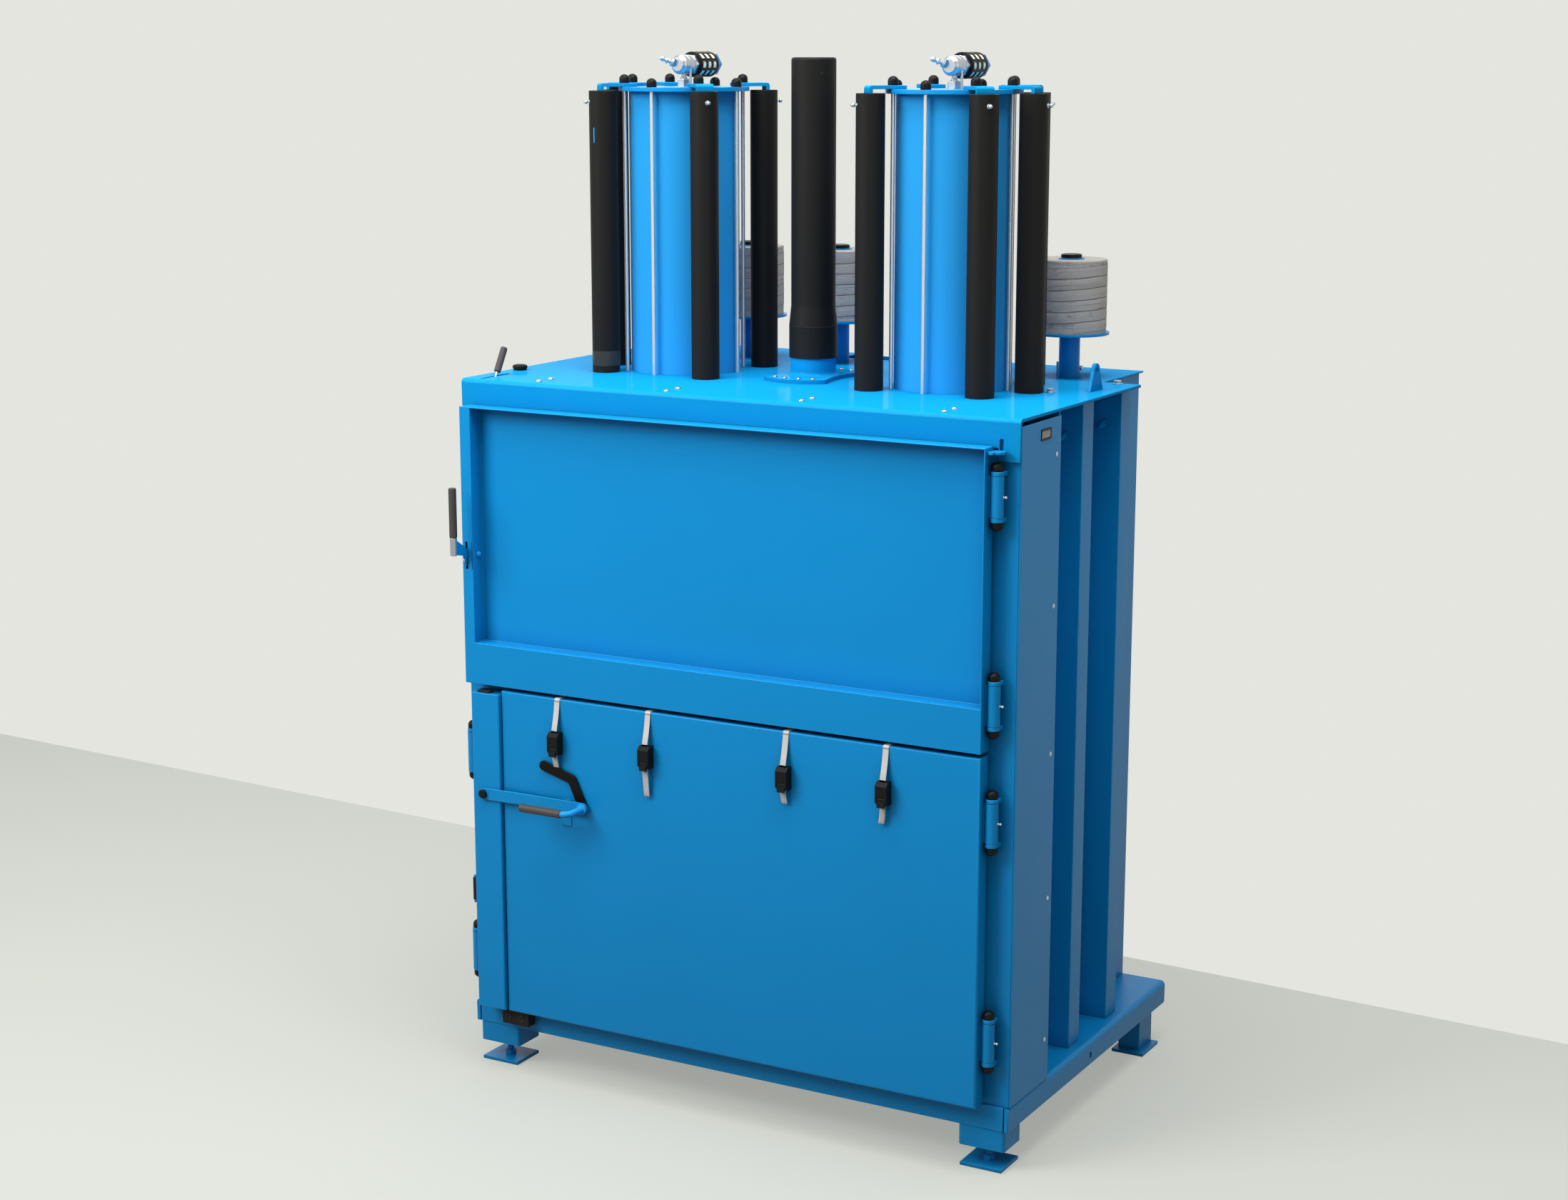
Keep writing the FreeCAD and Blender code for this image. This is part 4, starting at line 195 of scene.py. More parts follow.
class SharedGroup(Net):
    """The nodes of a group that several finishes share; each method fills the group of its name."""

    def opened(self, **defaults: float | tuple) -> Outputs:
        """Give a group its inputs.

        Args:
            defaults: a number, a vector or a colour by the input's name.

        Returns:
            The sockets that carry them.
        """
        for name, default in defaults.items():
            kind = "Float" if isinstance(default, float) else {3: "Vector", 4: "Color"}[len(default)]
            made = self.tree.interface.new_socket(name, in_out="INPUT", socket_type=f"NodeSocket{kind}")
            made.default_value = default
        return self.tree.nodes.new("NodeGroupInput").outputs

    def closed(self, **results: Socket) -> None:
        """Give a group its outputs.

        Args:
            results: a socket by the output's name.
        """
        kinds = {"VALUE": "Float", "VECTOR": "Vector", "RGBA": "Color"}
        for name, socket in results.items():
            kind = f"NodeSocket{kinds[socket.type]}"
            self.tree.interface.new_socket(name, in_out="OUTPUT", socket_type=kind)
        self.fill(self.tree.nodes.new("NodeGroupOutput"), results)

    def edge_finder(self) -> None:
        """The normal rounded at edges, a mask of the edges for a painted highlight, and a mask of painted shade
        in the inner corners.
        """
        given = self.opened(Radius=0.002)
        # Ambient occlusion gives the corner mask: painted shade where less light would reach.
        occlusion = self.add("AmbientOcclusion", {"Distance": 0.05}, samples=6)["AO"]
        rounded = self.add("Bevel", {"Radius": given["Radius"]}, samples=4)["Normal"]
        plain = self.add("NewGeometry", {})["Normal"]
        dot = self.add("VectorMath", {0: rounded, 1: plain}, operation="DOT_PRODUCT")["Value"]
        self.closed(Normal=rounded, Mask=self.spread(dot, 0.995, 0.86), Corner=self.spread(occlusion, 0.9, 0.15))

    def uneven_tone(self) -> None:
        """A colour whose value drifts in broad clouds and fine specks and darkens near the floor, partly as
        dirt and partly as painted shade.
        """
        given = self.opened(Colour=(0.5, 0.5, 0.5, 1.0), Clouds=0.05, Specks=0.02, Dust=0.0)
        place = self.add("TexCoord", {})["Object"]
        broad = self.math("MULTIPLY", self.centred(self.noise(place, 2.2, 2.0)), given["Clouds"])
        fine = self.math("MULTIPLY", self.centred(self.noise(place, 420.0, 3.0)), given["Specks"])
        drift = self.math("ADD", broad, fine)
        # Darker towards the floor: partly dirt, partly painted shade for light that falls off low down.
        low = self.spread(self.add("SeparateXYZ", {"Vector": place})["Z"], 1.25, 0.0)
        dimmed_drift = self.math("SUBTRACT", drift, self.math("MULTIPLY", low, given["Dust"]))
        shade = {"Color": given["Colour"], "Value": self.math("ADD", dimmed_drift, 1.0)}
        self.closed(Colour=self.add("HueSaturation", shade)["Color"], Drift=drift)

    def skin(self) -> None:
        """The height of a sprayed or moulded skin: soft waves and a fine tooth."""
        given = self.opened(Wave=160.0, Tooth=900.0, Share=0.3)
        place = self.add("TexCoord", {})["Object"]
        wave = self.noise(place, given["Wave"], 1.5)
        tooth = self.math("MULTIPLY", self.noise(place, given["Tooth"], 2.0), given["Share"])
        self.closed(Height=self.math("ADD", wave, tooth))

    def brushed(self) -> None:
        """The height of the streaks on drawn or turned metal."""
        given = self.opened(Stretch=(900.0, 900.0, 12.0))
        place = self.add("TexCoord", {})["Object"]
        scaled = self.add("VectorMath", {0: place, 1: given["Stretch"]}, operation="MULTIPLY")["Vector"]
        self.closed(Height=self.noise(scaled, 1.0, 2.0))

    def weave(self) -> None:
        """A strap's lengthwise cords: height, dark gaps, dark edges, streaks and rubbed marks."""
        given = self.opened(Cords=14.0, Picks=900.0)
        place = self.add("UVMap", {}, uv_map="along")["UV"]
        apart = self.add("SeparateXYZ", {"Vector": place})
        along, across = apart["X"], apart["Y"]
        cords = self.math("PINGPONG", self.math("MULTIPLY", across, given["Cords"]), 0.5)
        picks = self.math("PINGPONG", self.math("MULTIPLY", along, given["Picks"]), 0.5)
        height = self.math("ADD", cords, self.math("MULTIPLY", picks, 0.35))
        streak = self.noise(self.stretched(along, 5.0, across, 9.0), 1.0, 3.0)
        smudge = self.noise(self.stretched(along, 60.0, across, 5.0), 1.0, 2.0)
        patch = self.noise(self.stretched(along, 7.0, across, 0.6), 1.0, 1.0)
        self.closed(
            Height=self.math("ADD", height, streak), Gap=self.spread(cords, 0.14, 0.0),
            Edge=self.spread(self.math("PINGPONG", across, 0.5), 0.055, 0.0),
            Streak=self.spread(streak, 0.5, 0.72),
            Mark=self.math("MULTIPLY", self.spread(smudge, 0.56, 0.66), self.spread(patch, 0.52, 0.6)),
        )


def new_material(name: str) -> tuple[bpy.types.Material, Net, bpy.types.Node]:
    """A new material with its nodes.

    Args:
        name: the material's name.

    Returns:
        The material, its nodes and its Principled BSDF.
    """
    made = bpy.data.materials.new(name)
    made.use_nodes = True
    return made, Net(made.node_tree), made.node_tree.nodes["Principled BSDF"]


# ---------------- finishes


@dataclass(frozen=True)
class Finish:
    """What every finish has: a name, the slot it belongs to, a colour and a gloss."""

    name: str
    slot: Slot
    colour: Colour
    rough: float
    rough_drift: float = 0.6
    clouds: float = 0.05
    specks: float = 0.03
    # Darkening towards the floor: partly dirt, partly painted shade for light that falls off low down.
    dust_and_low_shade: float = 0.0
    edge_radius: float = 0.0012
    # A paler colour laid on rounded edges, and its share: a painted highlight.
    edge_highlight_colour: Colour = (90, 180, 230)
    edge_highlight_share: float = 0.35
    wave: float = 160.0
    tooth: float = 900.0
    tooth_share: float = 0.3
    bump: float = 0.04
    bump_height: float = 0.001
    metal: float = 0.0
    coat: float = 0.0
    coat_rough: float = 0.12
    shine: float = 0.5
    alpha: float = 1.0
    # Painted shade in inner corners and recesses, from ambient occlusion: its share and its dark colour.
    corner_shade: float = 0.0
    corner_shade_colour: Colour = (2, 38, 60)

    def material(self) -> bpy.types.Material:
        """The finish as a material, built at its first use.

        Returns:
            The material.
        """
        if self.name in bpy.data.materials:
            return bpy.data.materials[self.name]
        made, net, shader = new_material(self.name)
        edge = net.place("edge_finder", Radius=self.edge_radius)
        tone = net.place("uneven_tone", Colour=linear(*self.colour), Clouds=self.clouds,
                            Specks=self.specks, Dust=self.dust_and_low_shade)
        colour, rough = self.paint(net, tone, edge)
        bump = net.add("Bump", {"Strength": self.bump, "Distance": self.bump_height,
                                "Height": self.relief(net), "Normal": edge["Normal"]})
        net.fill(shader, {
            "Base Color": colour, "Roughness": rough, "Normal": bump["Normal"], "Metallic": self.metal,
            "Coat Weight": self.coat, "Coat Roughness": self.coat_rough, "Specular IOR Level": self.shine,
            "Alpha": self.alpha,
        })
        return made

    def paint(self, net: Net, tone: Outputs, edge: Outputs) -> tuple[Socket, Socket | float]:
        """Colour and roughness of the surface, with a painted highlight on rounded edges and painted shade in
        inner corners.

        Args:
            net: the material's nodes.
            tone: outputs of the placed uneven_tone group.
            edge: outputs of the placed edge_finder group.

        Returns:
            The colour and the roughness.
        """
        # Painted highlight: rounded edges are lightened towards a paler colour.
        highlit_edges = net.math("MULTIPLY", edge["Mask"], self.edge_highlight_share)
        colour = net.blend(highlit_edges, tone["Colour"], linear(*self.edge_highlight_colour))
        # Painted shade: inner corners and recesses are darkened towards a dark blue.
        if self.corner_shade:
            shaded_corners = net.math("MULTIPLY", edge["Corner"], self.corner_shade)
            colour = net.blend(shaded_corners, colour, linear(*self.corner_shade_colour))
        return colour, net.math("ADD", net.math("MULTIPLY", tone["Drift"], self.rough_drift), self.rough)

    def relief(self, net: Net) -> Socket:
        """The height of the surface's skin."""
        return net.place("skin", Wave=self.wave, Tooth=self.tooth, Share=self.tooth_share)["Height"]


@dataclass(frozen=True)
class Metal(Finish):
    """Bare or plated metal with drawn streaks."""

    stretch: tuple[float, float, float] = (900.0, 900.0, 12.0)

    def relief(self, net: Net) -> Socket:
        """The height of the drawn streaks."""
        return net.place("brushed", Stretch=self.stretch)["Height"]


@dataclass(frozen=True)
class Webbing(Finish):
    """Strap of lengthwise cords with a faint rubbed marking."""

    cords: float = 14.0
    picks: float = 900.0
    gap_colour: Colour = (84, 83, 81)
    gap_share: float = 0.25
    rim_share: float = 0.6
    streak_share: float = 0.4
    marked_share: float = 0.5

    def woven(self, net: Net) -> Outputs:
        """The outputs of a placed weave group."""
        return net.place("weave", Cords=self.cords, Picks=self.picks)

    def paint(self, net: Net, tone: Outputs, edge: Outputs) -> tuple[Socket, Socket | float]:
        """Cord colour with dark gaps, dark edges, streaks and rows of rubbed marks.

        Args:
            net: the material's nodes.
            tone: outputs of the placed uneven_tone group.
            edge: outputs of the placed edge_finder group, not used here.

        Returns:
            The colour and the roughness.
        """
        weave = self.woven(net)
        share = net.math("MULTIPLY", weave["Gap"], self.gap_share)
        parts = {"Edge": self.rim_share, "Streak": self.streak_share, "Mark": self.marked_share}
        for name, part in parts.items():
            share = net.math("MAXIMUM", share, net.math("MULTIPLY", weave[name], part))
        return net.blend(share, tone["Colour"], linear(*self.gap_colour)), self.rough

    def relief(self, net: Net) -> Socket:
        """The cords' own height."""
        return self.woven(net)["Height"]


# PAINT and HOOD_PAINT darken inner corners as painted shade; PAINT also darkens towards the floor, partly dirt
# and partly painted shade.
PAINT = Finish("sheet_paint", Slot.BLUE, (12, 148, 217), 0.36, clouds=0.03, specks=0.015, dust_and_low_shade=0.2,
               corner_shade=0.55, bump=0.05, shine=0.2, edge_highlight_colour=(70, 185, 245))
HOOD_PAINT = Finish("hood_paint", Slot.BLUE, (16, 152, 216), 0.4, clouds=0.025, specks=0.012, bump=0.03,
                    shine=0.0, coat=0.08, corner_shade=0.5, edge_highlight_colour=(80, 205, 255))
# A lighter blue than the sheet paint: the extra lightness is a painted highlight that stands in for the
# barrels' sheen.
BARREL_PAINT = Finish("barrel_paint", Slot.BLUE, (44, 161, 230), 0.5, clouds=0.015, specks=0.01,
                      bump=0.015, shine=0.06)
CAST_PAINT = Finish("cast_paint", Slot.BLUE, (6, 118, 186), 0.36, specks=0.04, bump=0.1, wave=60.0, shine=0.3)
ZINC = Metal("zinc_plate", Slot.STEEL, (188, 190, 192), 0.3, metal=1.0, clouds=0.06, specks=0.05,
             edge_highlight_colour=(235, 235, 235), bump=0.05)
TIE_ROD = Metal("tie_rod", Slot.STEEL, (226, 229, 233), 0.22, metal=0.6, specks=0.04,
                edge_highlight_colour=(240, 240, 240), bump=0.03)
ROD = Metal("drawn_rod", Slot.ROD, (205, 207, 210), 0.14, metal=1.0, edge_highlight_colour=(240, 240, 240), bump=0.02)
CHROME = Metal("polished_plating", Slot.CHROME, (192, 196, 202), 0.22, rough_drift=0.2, metal=0.85,
               edge_highlight_share=0.0, bump=0.01)
BLACK = Finish("moulded_black", Slot.BLACK, (17, 17, 17), 0.42, edge_highlight_colour=(64, 64, 65), bump=0.06,
               edge_highlight_share=0.25, tooth_share=0.6, shine=0.14)
TUBE_BLACK = Finish("tube_black", Slot.BLACK, (24, 23, 22), 0.55, edge_highlight_colour=(84, 84, 86), bump=0.09,
                    tooth_share=0.8, clouds=0.08, shine=0.16)
ARM_BLACK = Finish("arm_black", Slot.BLACK, (12, 8, 7), 0.3, edge_highlight_colour=(52, 44, 42), edge_highlight_share=0.2,
                   shine=0.14)
RUBBER = Finish("grip_rubber", Slot.RUBBER, (62, 57, 54), 0.62, edge_highlight_colour=(110, 104, 100), bump=0.14,
                tooth=1400.0, tooth_share=0.9, clouds=0.08)
PAD = Finish("pad_rubber", Slot.RUBBER, (38, 35, 32), 0.6, edge_highlight_colour=(74, 70, 66), bump=0.12,
             tooth_share=0.8, shine=0.12)
FELT = Finish("silencer_felt", Slot.FELT, (252, 252, 222), 0.9, bump=0.5, wave=500.0, tooth=2400.0,
              tooth_share=0.9, specks=0.16)
ANODISED = Metal("anodised_cap", Slot.ANODISED, (66, 132, 202), 0.25, metal=0.6,
                 edge_highlight_colour=(120, 190, 240), bump=0.03)
STRAP = Webbing("strap_webbing", Slot.STRAP, (212, 211, 207), 0.62, bump=0.5, cords=10.0,
                streak_share=0.12, marked_share=0.25)
REEL = Webbing("reel_webbing", Slot.STRAP, (200, 194, 188), 0.6, rim_share=0.8, bump=0.7, picks=1400.0,
               clouds=0.16)
GLASS_FACE = Finish("counter_face", Slot.BLACK, (148, 146, 132), 0.3, bump=0.02, edge_highlight_share=0.0)
FILM = Finish("sight_film", Slot.BLACK, (84, 82, 76), 0.08, bump=0.05, edge_highlight_share=0.1, alpha=0.28)
# Near-black for thin sheets that stand for the shade inside holes and slots: painted shade.
SHADE_IN_HOLES = Finish("hole_shade", Slot.BLACK, (8, 9, 10), 0.8, edge_highlight_share=0.0)


# ---------------- making meshes


def merged(node: str) -> Form:
    """A merged copy of a CAD node, its flat faces made whole.

    Args:
        node: the CAD node to copy.

    Returns:
        A new bmesh.
    """
    form = bmesh.new()
    form.from_mesh(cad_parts[node].data)
    bmesh.ops.remove_doubles(form, verts=form.verts, dist=2e-5)
    bmesh.ops.dissolve_limit(form, angle_limit=math.radians(0.6), verts=form.verts, edges=form.edges,
                             use_dissolve_boundaries=False)
    return form


def sharp_edges(form: Form, shortest: float, sharper: float) -> list[bmesh.types.BMEdge]:
    """The edges between two faces longer than some millimetres that turn more than some degrees."""
    return [edge for edge in form.edges if len(edge.link_faces) == 2 and edge.calc_length() > shortest * MM
            and edge.calc_face_angle(0) > math.radians(sharper)]


def bevel(form: Form, edges: list, width: float, segments: int = 3, clamp: bool = False) -> None:
    """Round some edges of a form.

    Args:
        form: the bmesh.
        edges: the edges to round.
        width: offset in millimetres.
        segments: rows of faces in each.
        clamp: whether a bevel stops where it meets another.
    """
    bmesh.ops.bevel(
        form, geom=edges, offset=width * MM, offset_type="OFFSET", segments=segments, profile=0.5,
        affect="EDGES", clamp_overlap=clamp, material=-1,
    )


def widened(form: Form, spare: float) -> Form:
    """Move the outline of an upright plate outwards, its two faces kept in their planes.

    Args:
        form: the plate, its faces across Y.
        spare: how far the outline moves, in millimetres.

    Returns:
        The same form.
    """
    form.normal_update()
    moves = {}
    for vert in form.verts:
        sides = [face.normal for face in vert.link_faces if abs(face.normal.y) < 0.5]
        way = sum(sides, Vector()).normalized()
        moves[vert] = way * spare * MM / max(0.5, way.dot(sides[0]))
    for vert, move in moves.items():
        vert.co += move
    return form


def lathe(points: Outline, at: Vector, axis: tuple | Vector = UP, steps: int = 32) -> Form:
    """A turned form.

    Args:
        points: (radius, height) in millimetres along its outline.
        at: where its foot stands, in metres.
        axis: the way its height points.
        steps: sides of the turn.

    Returns:
        A new bmesh.
    """
    form = bmesh.new()
    chain = [form.verts.new((radius * MM, 0, height * MM)) for radius, height in points]
    edges = [form.edges.new(pair) for pair in zip(chain, chain[1:])]
    bmesh.ops.spin(form, geom=chain + edges, cent=(0, 0, 0), axis=UP, angle=math.tau, steps=steps,
                   use_merge=True)
    bmesh.ops.remove_doubles(form, verts=form.verts, dist=1e-6)
    bmesh.ops.recalc_face_normals(form, faces=form.faces)
    turn = Vector(UP).rotation_difference(Vector(axis)).to_matrix().to_4x4()
    form.transform(Matrix.Translation(at) @ turn)
    return form


def dome(radius: float, skirt: float, height: float, rim: float = 0.8) -> Outline:
    """The outline of a round cap: a skirt, a soft rim and a dome.

    Args:
        radius: its radius in millimetres.
        skirt: where the dome starts.
        height: where the dome ends.
        rim: the cut at the foot.

    Returns:
        (radius, height) in millimetres along it.
    """
    steps = 8
    rows = [(0.0, 0.0), (radius - rim, 0.0), (radius, rim), (radius, skirt)]
    for step in range(1, steps):
        angle = math.pi / 2 * step / steps
        rows.append((radius * math.cos(angle), skirt + (height - skirt) * math.sin(angle)))
    return rows + [(0.0, height)]


def slab(low: Vector, high: Vector, edge: float, segments: int = 3) -> Form:
    """A box with rounded edges.

    Args:
        low: its lowest corner in metres.
        high: its highest corner.
        edge: radius of the edges in millimetres.
        segments: rows of faces in each edge.

    Returns:
        A new bmesh.
    """
    form = bmesh.new()
    bmesh.ops.create_cube(form, size=1.0)
    form.transform(Matrix.Translation((low + high) / 2) @ Matrix.Diagonal((*(high - low), 1)))
    bevel(form, list(form.edges), edge, segments, True)
    return form


def joined(*forms: Form) -> Form:
    """Several forms in one; the given ones are used up.

    Args:
        forms: the bmeshes.

    Returns:
        A new bmesh.
    """
    whole = bmesh.new()
    for form in forms:
        part = bpy.data.meshes.new("part")
        form.to_mesh(part)
        form.free()
        whole.from_mesh(part)
        bpy.data.meshes.remove(part)
    return whole


def added(name: str, data: bpy.types.ID) -> bpy.types.Object:
    """A new object in the scene.

    Args:
        name: the object's name.
        data: its mesh, lamp or camera.

    Returns:
        The object.
    """
    made = bpy.data.objects.new(name, data)
    bpy.context.scene.collection.objects.link(made)
    return made


def piece(name: str, body: str, finish: Finish, *forms: Form, stands_for: str = "", crease: float = 32.0,
          weighted: bool = True) -> None:
    """Turn forms into a piece of the machine.

    Args:
        name: the piece's name.
        body: the CAD body it moves with.
        finish: what it is made of.
        forms: its bmeshes, used up here.
        stands_for: the CAD node it replaces.
        crease: edges that turn more than this many degrees stay sharp.
        weighted: keep flat faces flat between rounded edges.
    """
    mesh = bpy.data.meshes.new(name)
    form = forms[0] if len(forms) == 1 else joined(*forms)
    form.to_mesh(mesh)
    form.free()
    mesh.shade_smooth()
    mesh.set_sharp_from_angle(angle=math.radians(crease))
    mesh.materials.clear()
    mesh.materials.append(finish.material())
    made = added(name, mesh)
    if weighted:
        made.modifiers.new("flat_faces", "WEIGHTED_NORMAL").keep_sharp = True
    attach(made, body)
    if stands_for:
        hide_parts(stands_for)
    LOG.info("%s rides on %s, %d faces", name, body, len(mesh.polygons))


def dress(finish: Finish, *nodes: str) -> None:
    """Give CAD nodes that stay as they are their finish.

    Args:
        finish: what they are made of.
        nodes: the CAD nodes.
    """
    for name in nodes:
        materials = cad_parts[name].data.materials
        materials.clear()
        materials.append(finish.material())
        LOG.info("%s keeps its CAD mesh in %s", name, finish.name)


def rounded_copy(node: str, body: str, finish: Finish, width: float, shortest: float = 12.0,
                 sharper: float = 35.0, segments: int = 3) -> None:
    """Let a copy of a CAD node with rounded long edges stand for it.

    Args:
        node: the CAD node.
        body: the body it moves with.
        finish: what it is made of.
        width: radius of the edges in millimetres.
        shortest: edges under this many millimetres stay sharp.
        sharper: edges that turn less than this many degrees stay.
        segments: rows of faces in each edge.
    """
    form = merged(node)
    bevel(form, sharp_edges(form, shortest, sharper), width, segments)
    piece(f"{node}_dressed", body, finish, form, stands_for=node)


class Assembly:
    """Pieces built together: rounded copies of CAD nodes, nodes that stay, and forms of its own."""

    copies: tuple = ()
    kept: tuple = ()

    def build(self) -> None:
        """Make and dress every piece."""
        for row in self.copies:
            rounded_copy(*row)
        for finish, *nodes in self.kept:
            dress(finish, *nodes)
        self.fit()

    def fit(self) -> None:
        """Make the pieces with forms of their own."""


# ---------------- base and body of the press


@dataclass
class Base(Assembly):
    """The base box with its feet and the rest block."""

    copies = (
        ("base_frame", "frame", PAINT, 1.6, 30.0), ("leg_blocks", "frame", PAINT, 1.2, 20.0),
        ("foot_plates", "frame", PAINT, 1.0, 20.0), ("rest_block", "frame", PAD, 2.2, 10.0),
    )
    kept = ((CAST_PAINT, "foot_spindles"),)
    screw_xs: tuple[float, float] = (-588.0, -552.0)
    screw_z: float = 133.0
    rest_front: float = -28.0

    def fit(self) -> None:
        """Make the dark holes of the rest block's countersunk screws: dished rings of painted shade with a
        hollow middle.
        """
        outline = [(4.4, 0.2), (4.6, 0.9), (7.6, 1.1), (8.4, 0.5), (8.4, 0.0), (4.4, 0.0), (4.4, 0.2)]
        piece("rest_screw_hole_shades", "frame", SHADE_IN_HOLES, *(
            lathe(outline, spot(x, self.rest_front, self.screw_z), AHEAD, 24) for x in self.screw_xs))


@dataclass
class Housing(Assembly):
    """Hood, deck, walls, posts, ribs and side covers."""

    copies = (
        ("hood", "frame", HOOD_PAINT, 1.6, 25.0), ("rear_deck", "frame", HOOD_PAINT, 0.9, 25.0),
        ("chamber_walls", "frame", PAINT, 1.0, 60.0), ("front_posts", "frame", PAINT, 1.0, 60.0),
        ("side_ribs", "frame", PAINT, 2.0, 60.0), ("side_covers", "frame", PAINT, 0.9, 20.0),
        ("hour_counter", "frame", BLACK, 0.9, 8.0, 35.0, 2), ("stop_pad", "frame", PAD, 1.2, 8.0),
    )
    screw_zs: tuple[float, ...] = (1550.6, 1223.9, 898.2, 573.8, 247.6)
    screw_y: float = 187.5
    counter_rim: float = 4.4
    clip_bar: float = 6.0

    def fit(self) -> None:
        """Make the screws of both covers, the counter's face and the stop pad's folded clip."""
        piece("cover_screws", "frame", ZINC, *(
            lathe(dome(5.2, 0.8, 2.6, 0.3), spot((HALF - 1.1) * side, self.screw_y, height), (side, 0, 0), 16)
            for side in SIDES for height in self.screw_zs))
        low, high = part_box("hour_counter")
        rim, near = self.counter_rim, Vector((high.x, low.y, low.z))
        face = slab(moved(near, -1.5, rim, rim), moved(high, -0.9, -rim, -rim), 0.2, 1)
        piece("counter_face", "frame", GLASS_FACE, face)
        low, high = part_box("stop_pad")
        piece("stop_clip", "frame", PAINT, *(
            slab(Vector((low.x + 3 * MM, low.y - 1 * MM, height)),
                 Vector((high.x, high.y + 1 * MM, height + self.clip_bar * MM)), 0.8, 2)
            for height in (low.z - self.clip_bar * MM, high.z)))


# ---------------- hinges


@dataclass
class Hinges(Assembly):
    """Ears, pins, caps and grease nipples of the six hinges."""

    kept = ((ZINC, "hinge_pins"),)
    right_x: float = 658.0
    left_x: float = -676.0
    axis_y: float = -18.0
    upper: tuple[float, ...] = (1486.0, 1045.0)
    lower: tuple[float, ...] = (791.0, 303.0)
    left: tuple[float, ...] = (775.0, 286.0)
    reach: float = 53.0
    ear_thick: float = 9.0
    ear_radius: float = 14.5

    def fit(self) -> None:
        """Make the caps, the ears and the grease nipples."""
        caps, ears = [], []
        cap = dome(13, 8, 19, 1.2)
        for x, heights in ((self.right_x, self.upper + self.lower), (self.left_x, self.left)):
            for height in heights:
                top, foot = height + self.reach, height - self.reach
                for end, axis in ((top, UP), (foot, DOWN)):
                    caps.append(lathe(cap, spot(x, self.axis_y, end), axis, 28))
                ears += [*self.ear(x, top - self.ear_thick), *self.ear(x, foot)]
        piece("hinge_caps_domed", "frame", BLACK, *caps, stands_for="hinge_caps")
        piece("hinge_ears_dressed", "frame", PAINT, *ears, stands_for="hinge_ears")
        nipple = [(0, 0), (3.2, 0), (3.2, 1.6), (1.5, 1.9), (1.5, 3.4), (2.9, 4.6), (3.3, 6.0), (2.9, 7.4),
                  (1.4, 8.4), (0, 8.6)]
        for name, body, heights in (("upper_nipples", "upper_door", self.upper),
                                    ("lower_nipples", "lower_door", self.lower)):
            feet = [spot(self.right_x + 14.2, self.axis_y, height) for height in heights]
            piece(name, body, CHROME, *(lathe(nipple, foot, RIGHT, 18) for foot in feet))

    def ear(self, x: float, low: float) -> tuple[Form, Form]:
        """One ear: a disc round the pin and the plate that runs back from it to the post.

        Args:
            x: the pin's place.
            low: the ear's lower face.

        Returns:
            The disc and the plate.
        """
        thick, radius = self.ear_thick, self.ear_radius
        disc = [(0, 0), (radius - 1, 0), (radius, 1), (radius, thick - 1), (radius - 1, thick), (0, thick)]
        near = spot(x - radius + 0.4, self.axis_y, low + 0.1)
        far = spot(x + radius - 0.4, 0.4, low + thick - 0.1)
        return lathe(disc, spot(x, self.axis_y, low), steps=36), slab(near, far, 0.9)


# ---------------- doors


@dataclass
class LoadingDoor(Assembly):
    """The upper door with its latch."""

    copies = (("upper_door", "upper_door", PAINT, 1.3, 20.0), ("latch_lever", "latch", PAINT, 0.5, 8.0))
    pivot: tuple[float, float, float] = (-664.5, -28.0, 1245.0)
    grip_ahead: float = 66.0

    def fit(self) -> None:
        """Make the latch's sleeve, hook and grip, the stile's ball-headed bolt, and a near-black slab of
        painted shade for the stile's slot.
        """
        x, y, z = self.pivot
        sleeve = [(6.1, 0), (7.6, 0.2), (8.2, 0.9), (8.2, 41.0), (6.1, 41.4), (6.1, 0)]
        grip = [(0, 0), (7.6, 0), (9.0, 1.6), (9.0, 6.0), (8.6, 6.4), (9.0, 6.8), (9.0, 111.0), (8.4, 113.4),
                (6.6, 114.8), (0, 115.0)]
        ahead = y - self.grip_ahead
        piece("latch_sleeve", "latch", CHROME, lathe(sleeve, spot(x, ahead, z + 6.4), UP, 28))
        piece("latch_hook", "latch", CHROME, self.hook())
        # The stile's slot is a thin near-black slab: painted shade.
        slot = slab(spot(-650.0, DOOR_FACE - 0.25, 1212.0), spot(-648.4, DOOR_FACE + 0.1, 1276.0), 0.15, 1)
        piece("stile_slot_shade", "upper_door", SHADE_IN_HOLES, slot)
        piece("latch_grip_turned", "latch", RUBBER, lathe(grip, spot(x, ahead, z + 48.0)),
              stands_for="latch_grip")
        ball = lathe(dome(6.8, 1.5, 7.0, 0.5), spot(-647.2, -24.0, 1245.0), RIGHT, 24)
        piece("stile_bolt", "upper_door", BARREL_PAINT, ball)

    def hook(self) -> Form:
        """The bright wire that curves round the latch's pivot.

        Returns:
            A new bmesh.
        """
        x, y, z = self.pivot
        centre = spot(x, y, z)
        hook = slab(spot(x - 1.9, y - 30.5, z - 1.0), spot(x + 1.9, y - 26.5, z + 1.0), 0.5, 2)
        tip = [face for face in hook.faces if face.normal.z < -0.9 and face.calc_area() > 2 * MM * MM]
        tilt = Matrix.Rotation(math.radians(18), 4, "X")
        hook.transform(Matrix.Translation(centre) @ tilt @ Matrix.Translation(-centre))
        bmesh.ops.spin(hook, geom=tip, cent=centre, axis=RIGHT, angle=math.radians(58), steps=14)
        bmesh.ops.recalc_face_normals(hook, faces=hook.faces)
        return hook


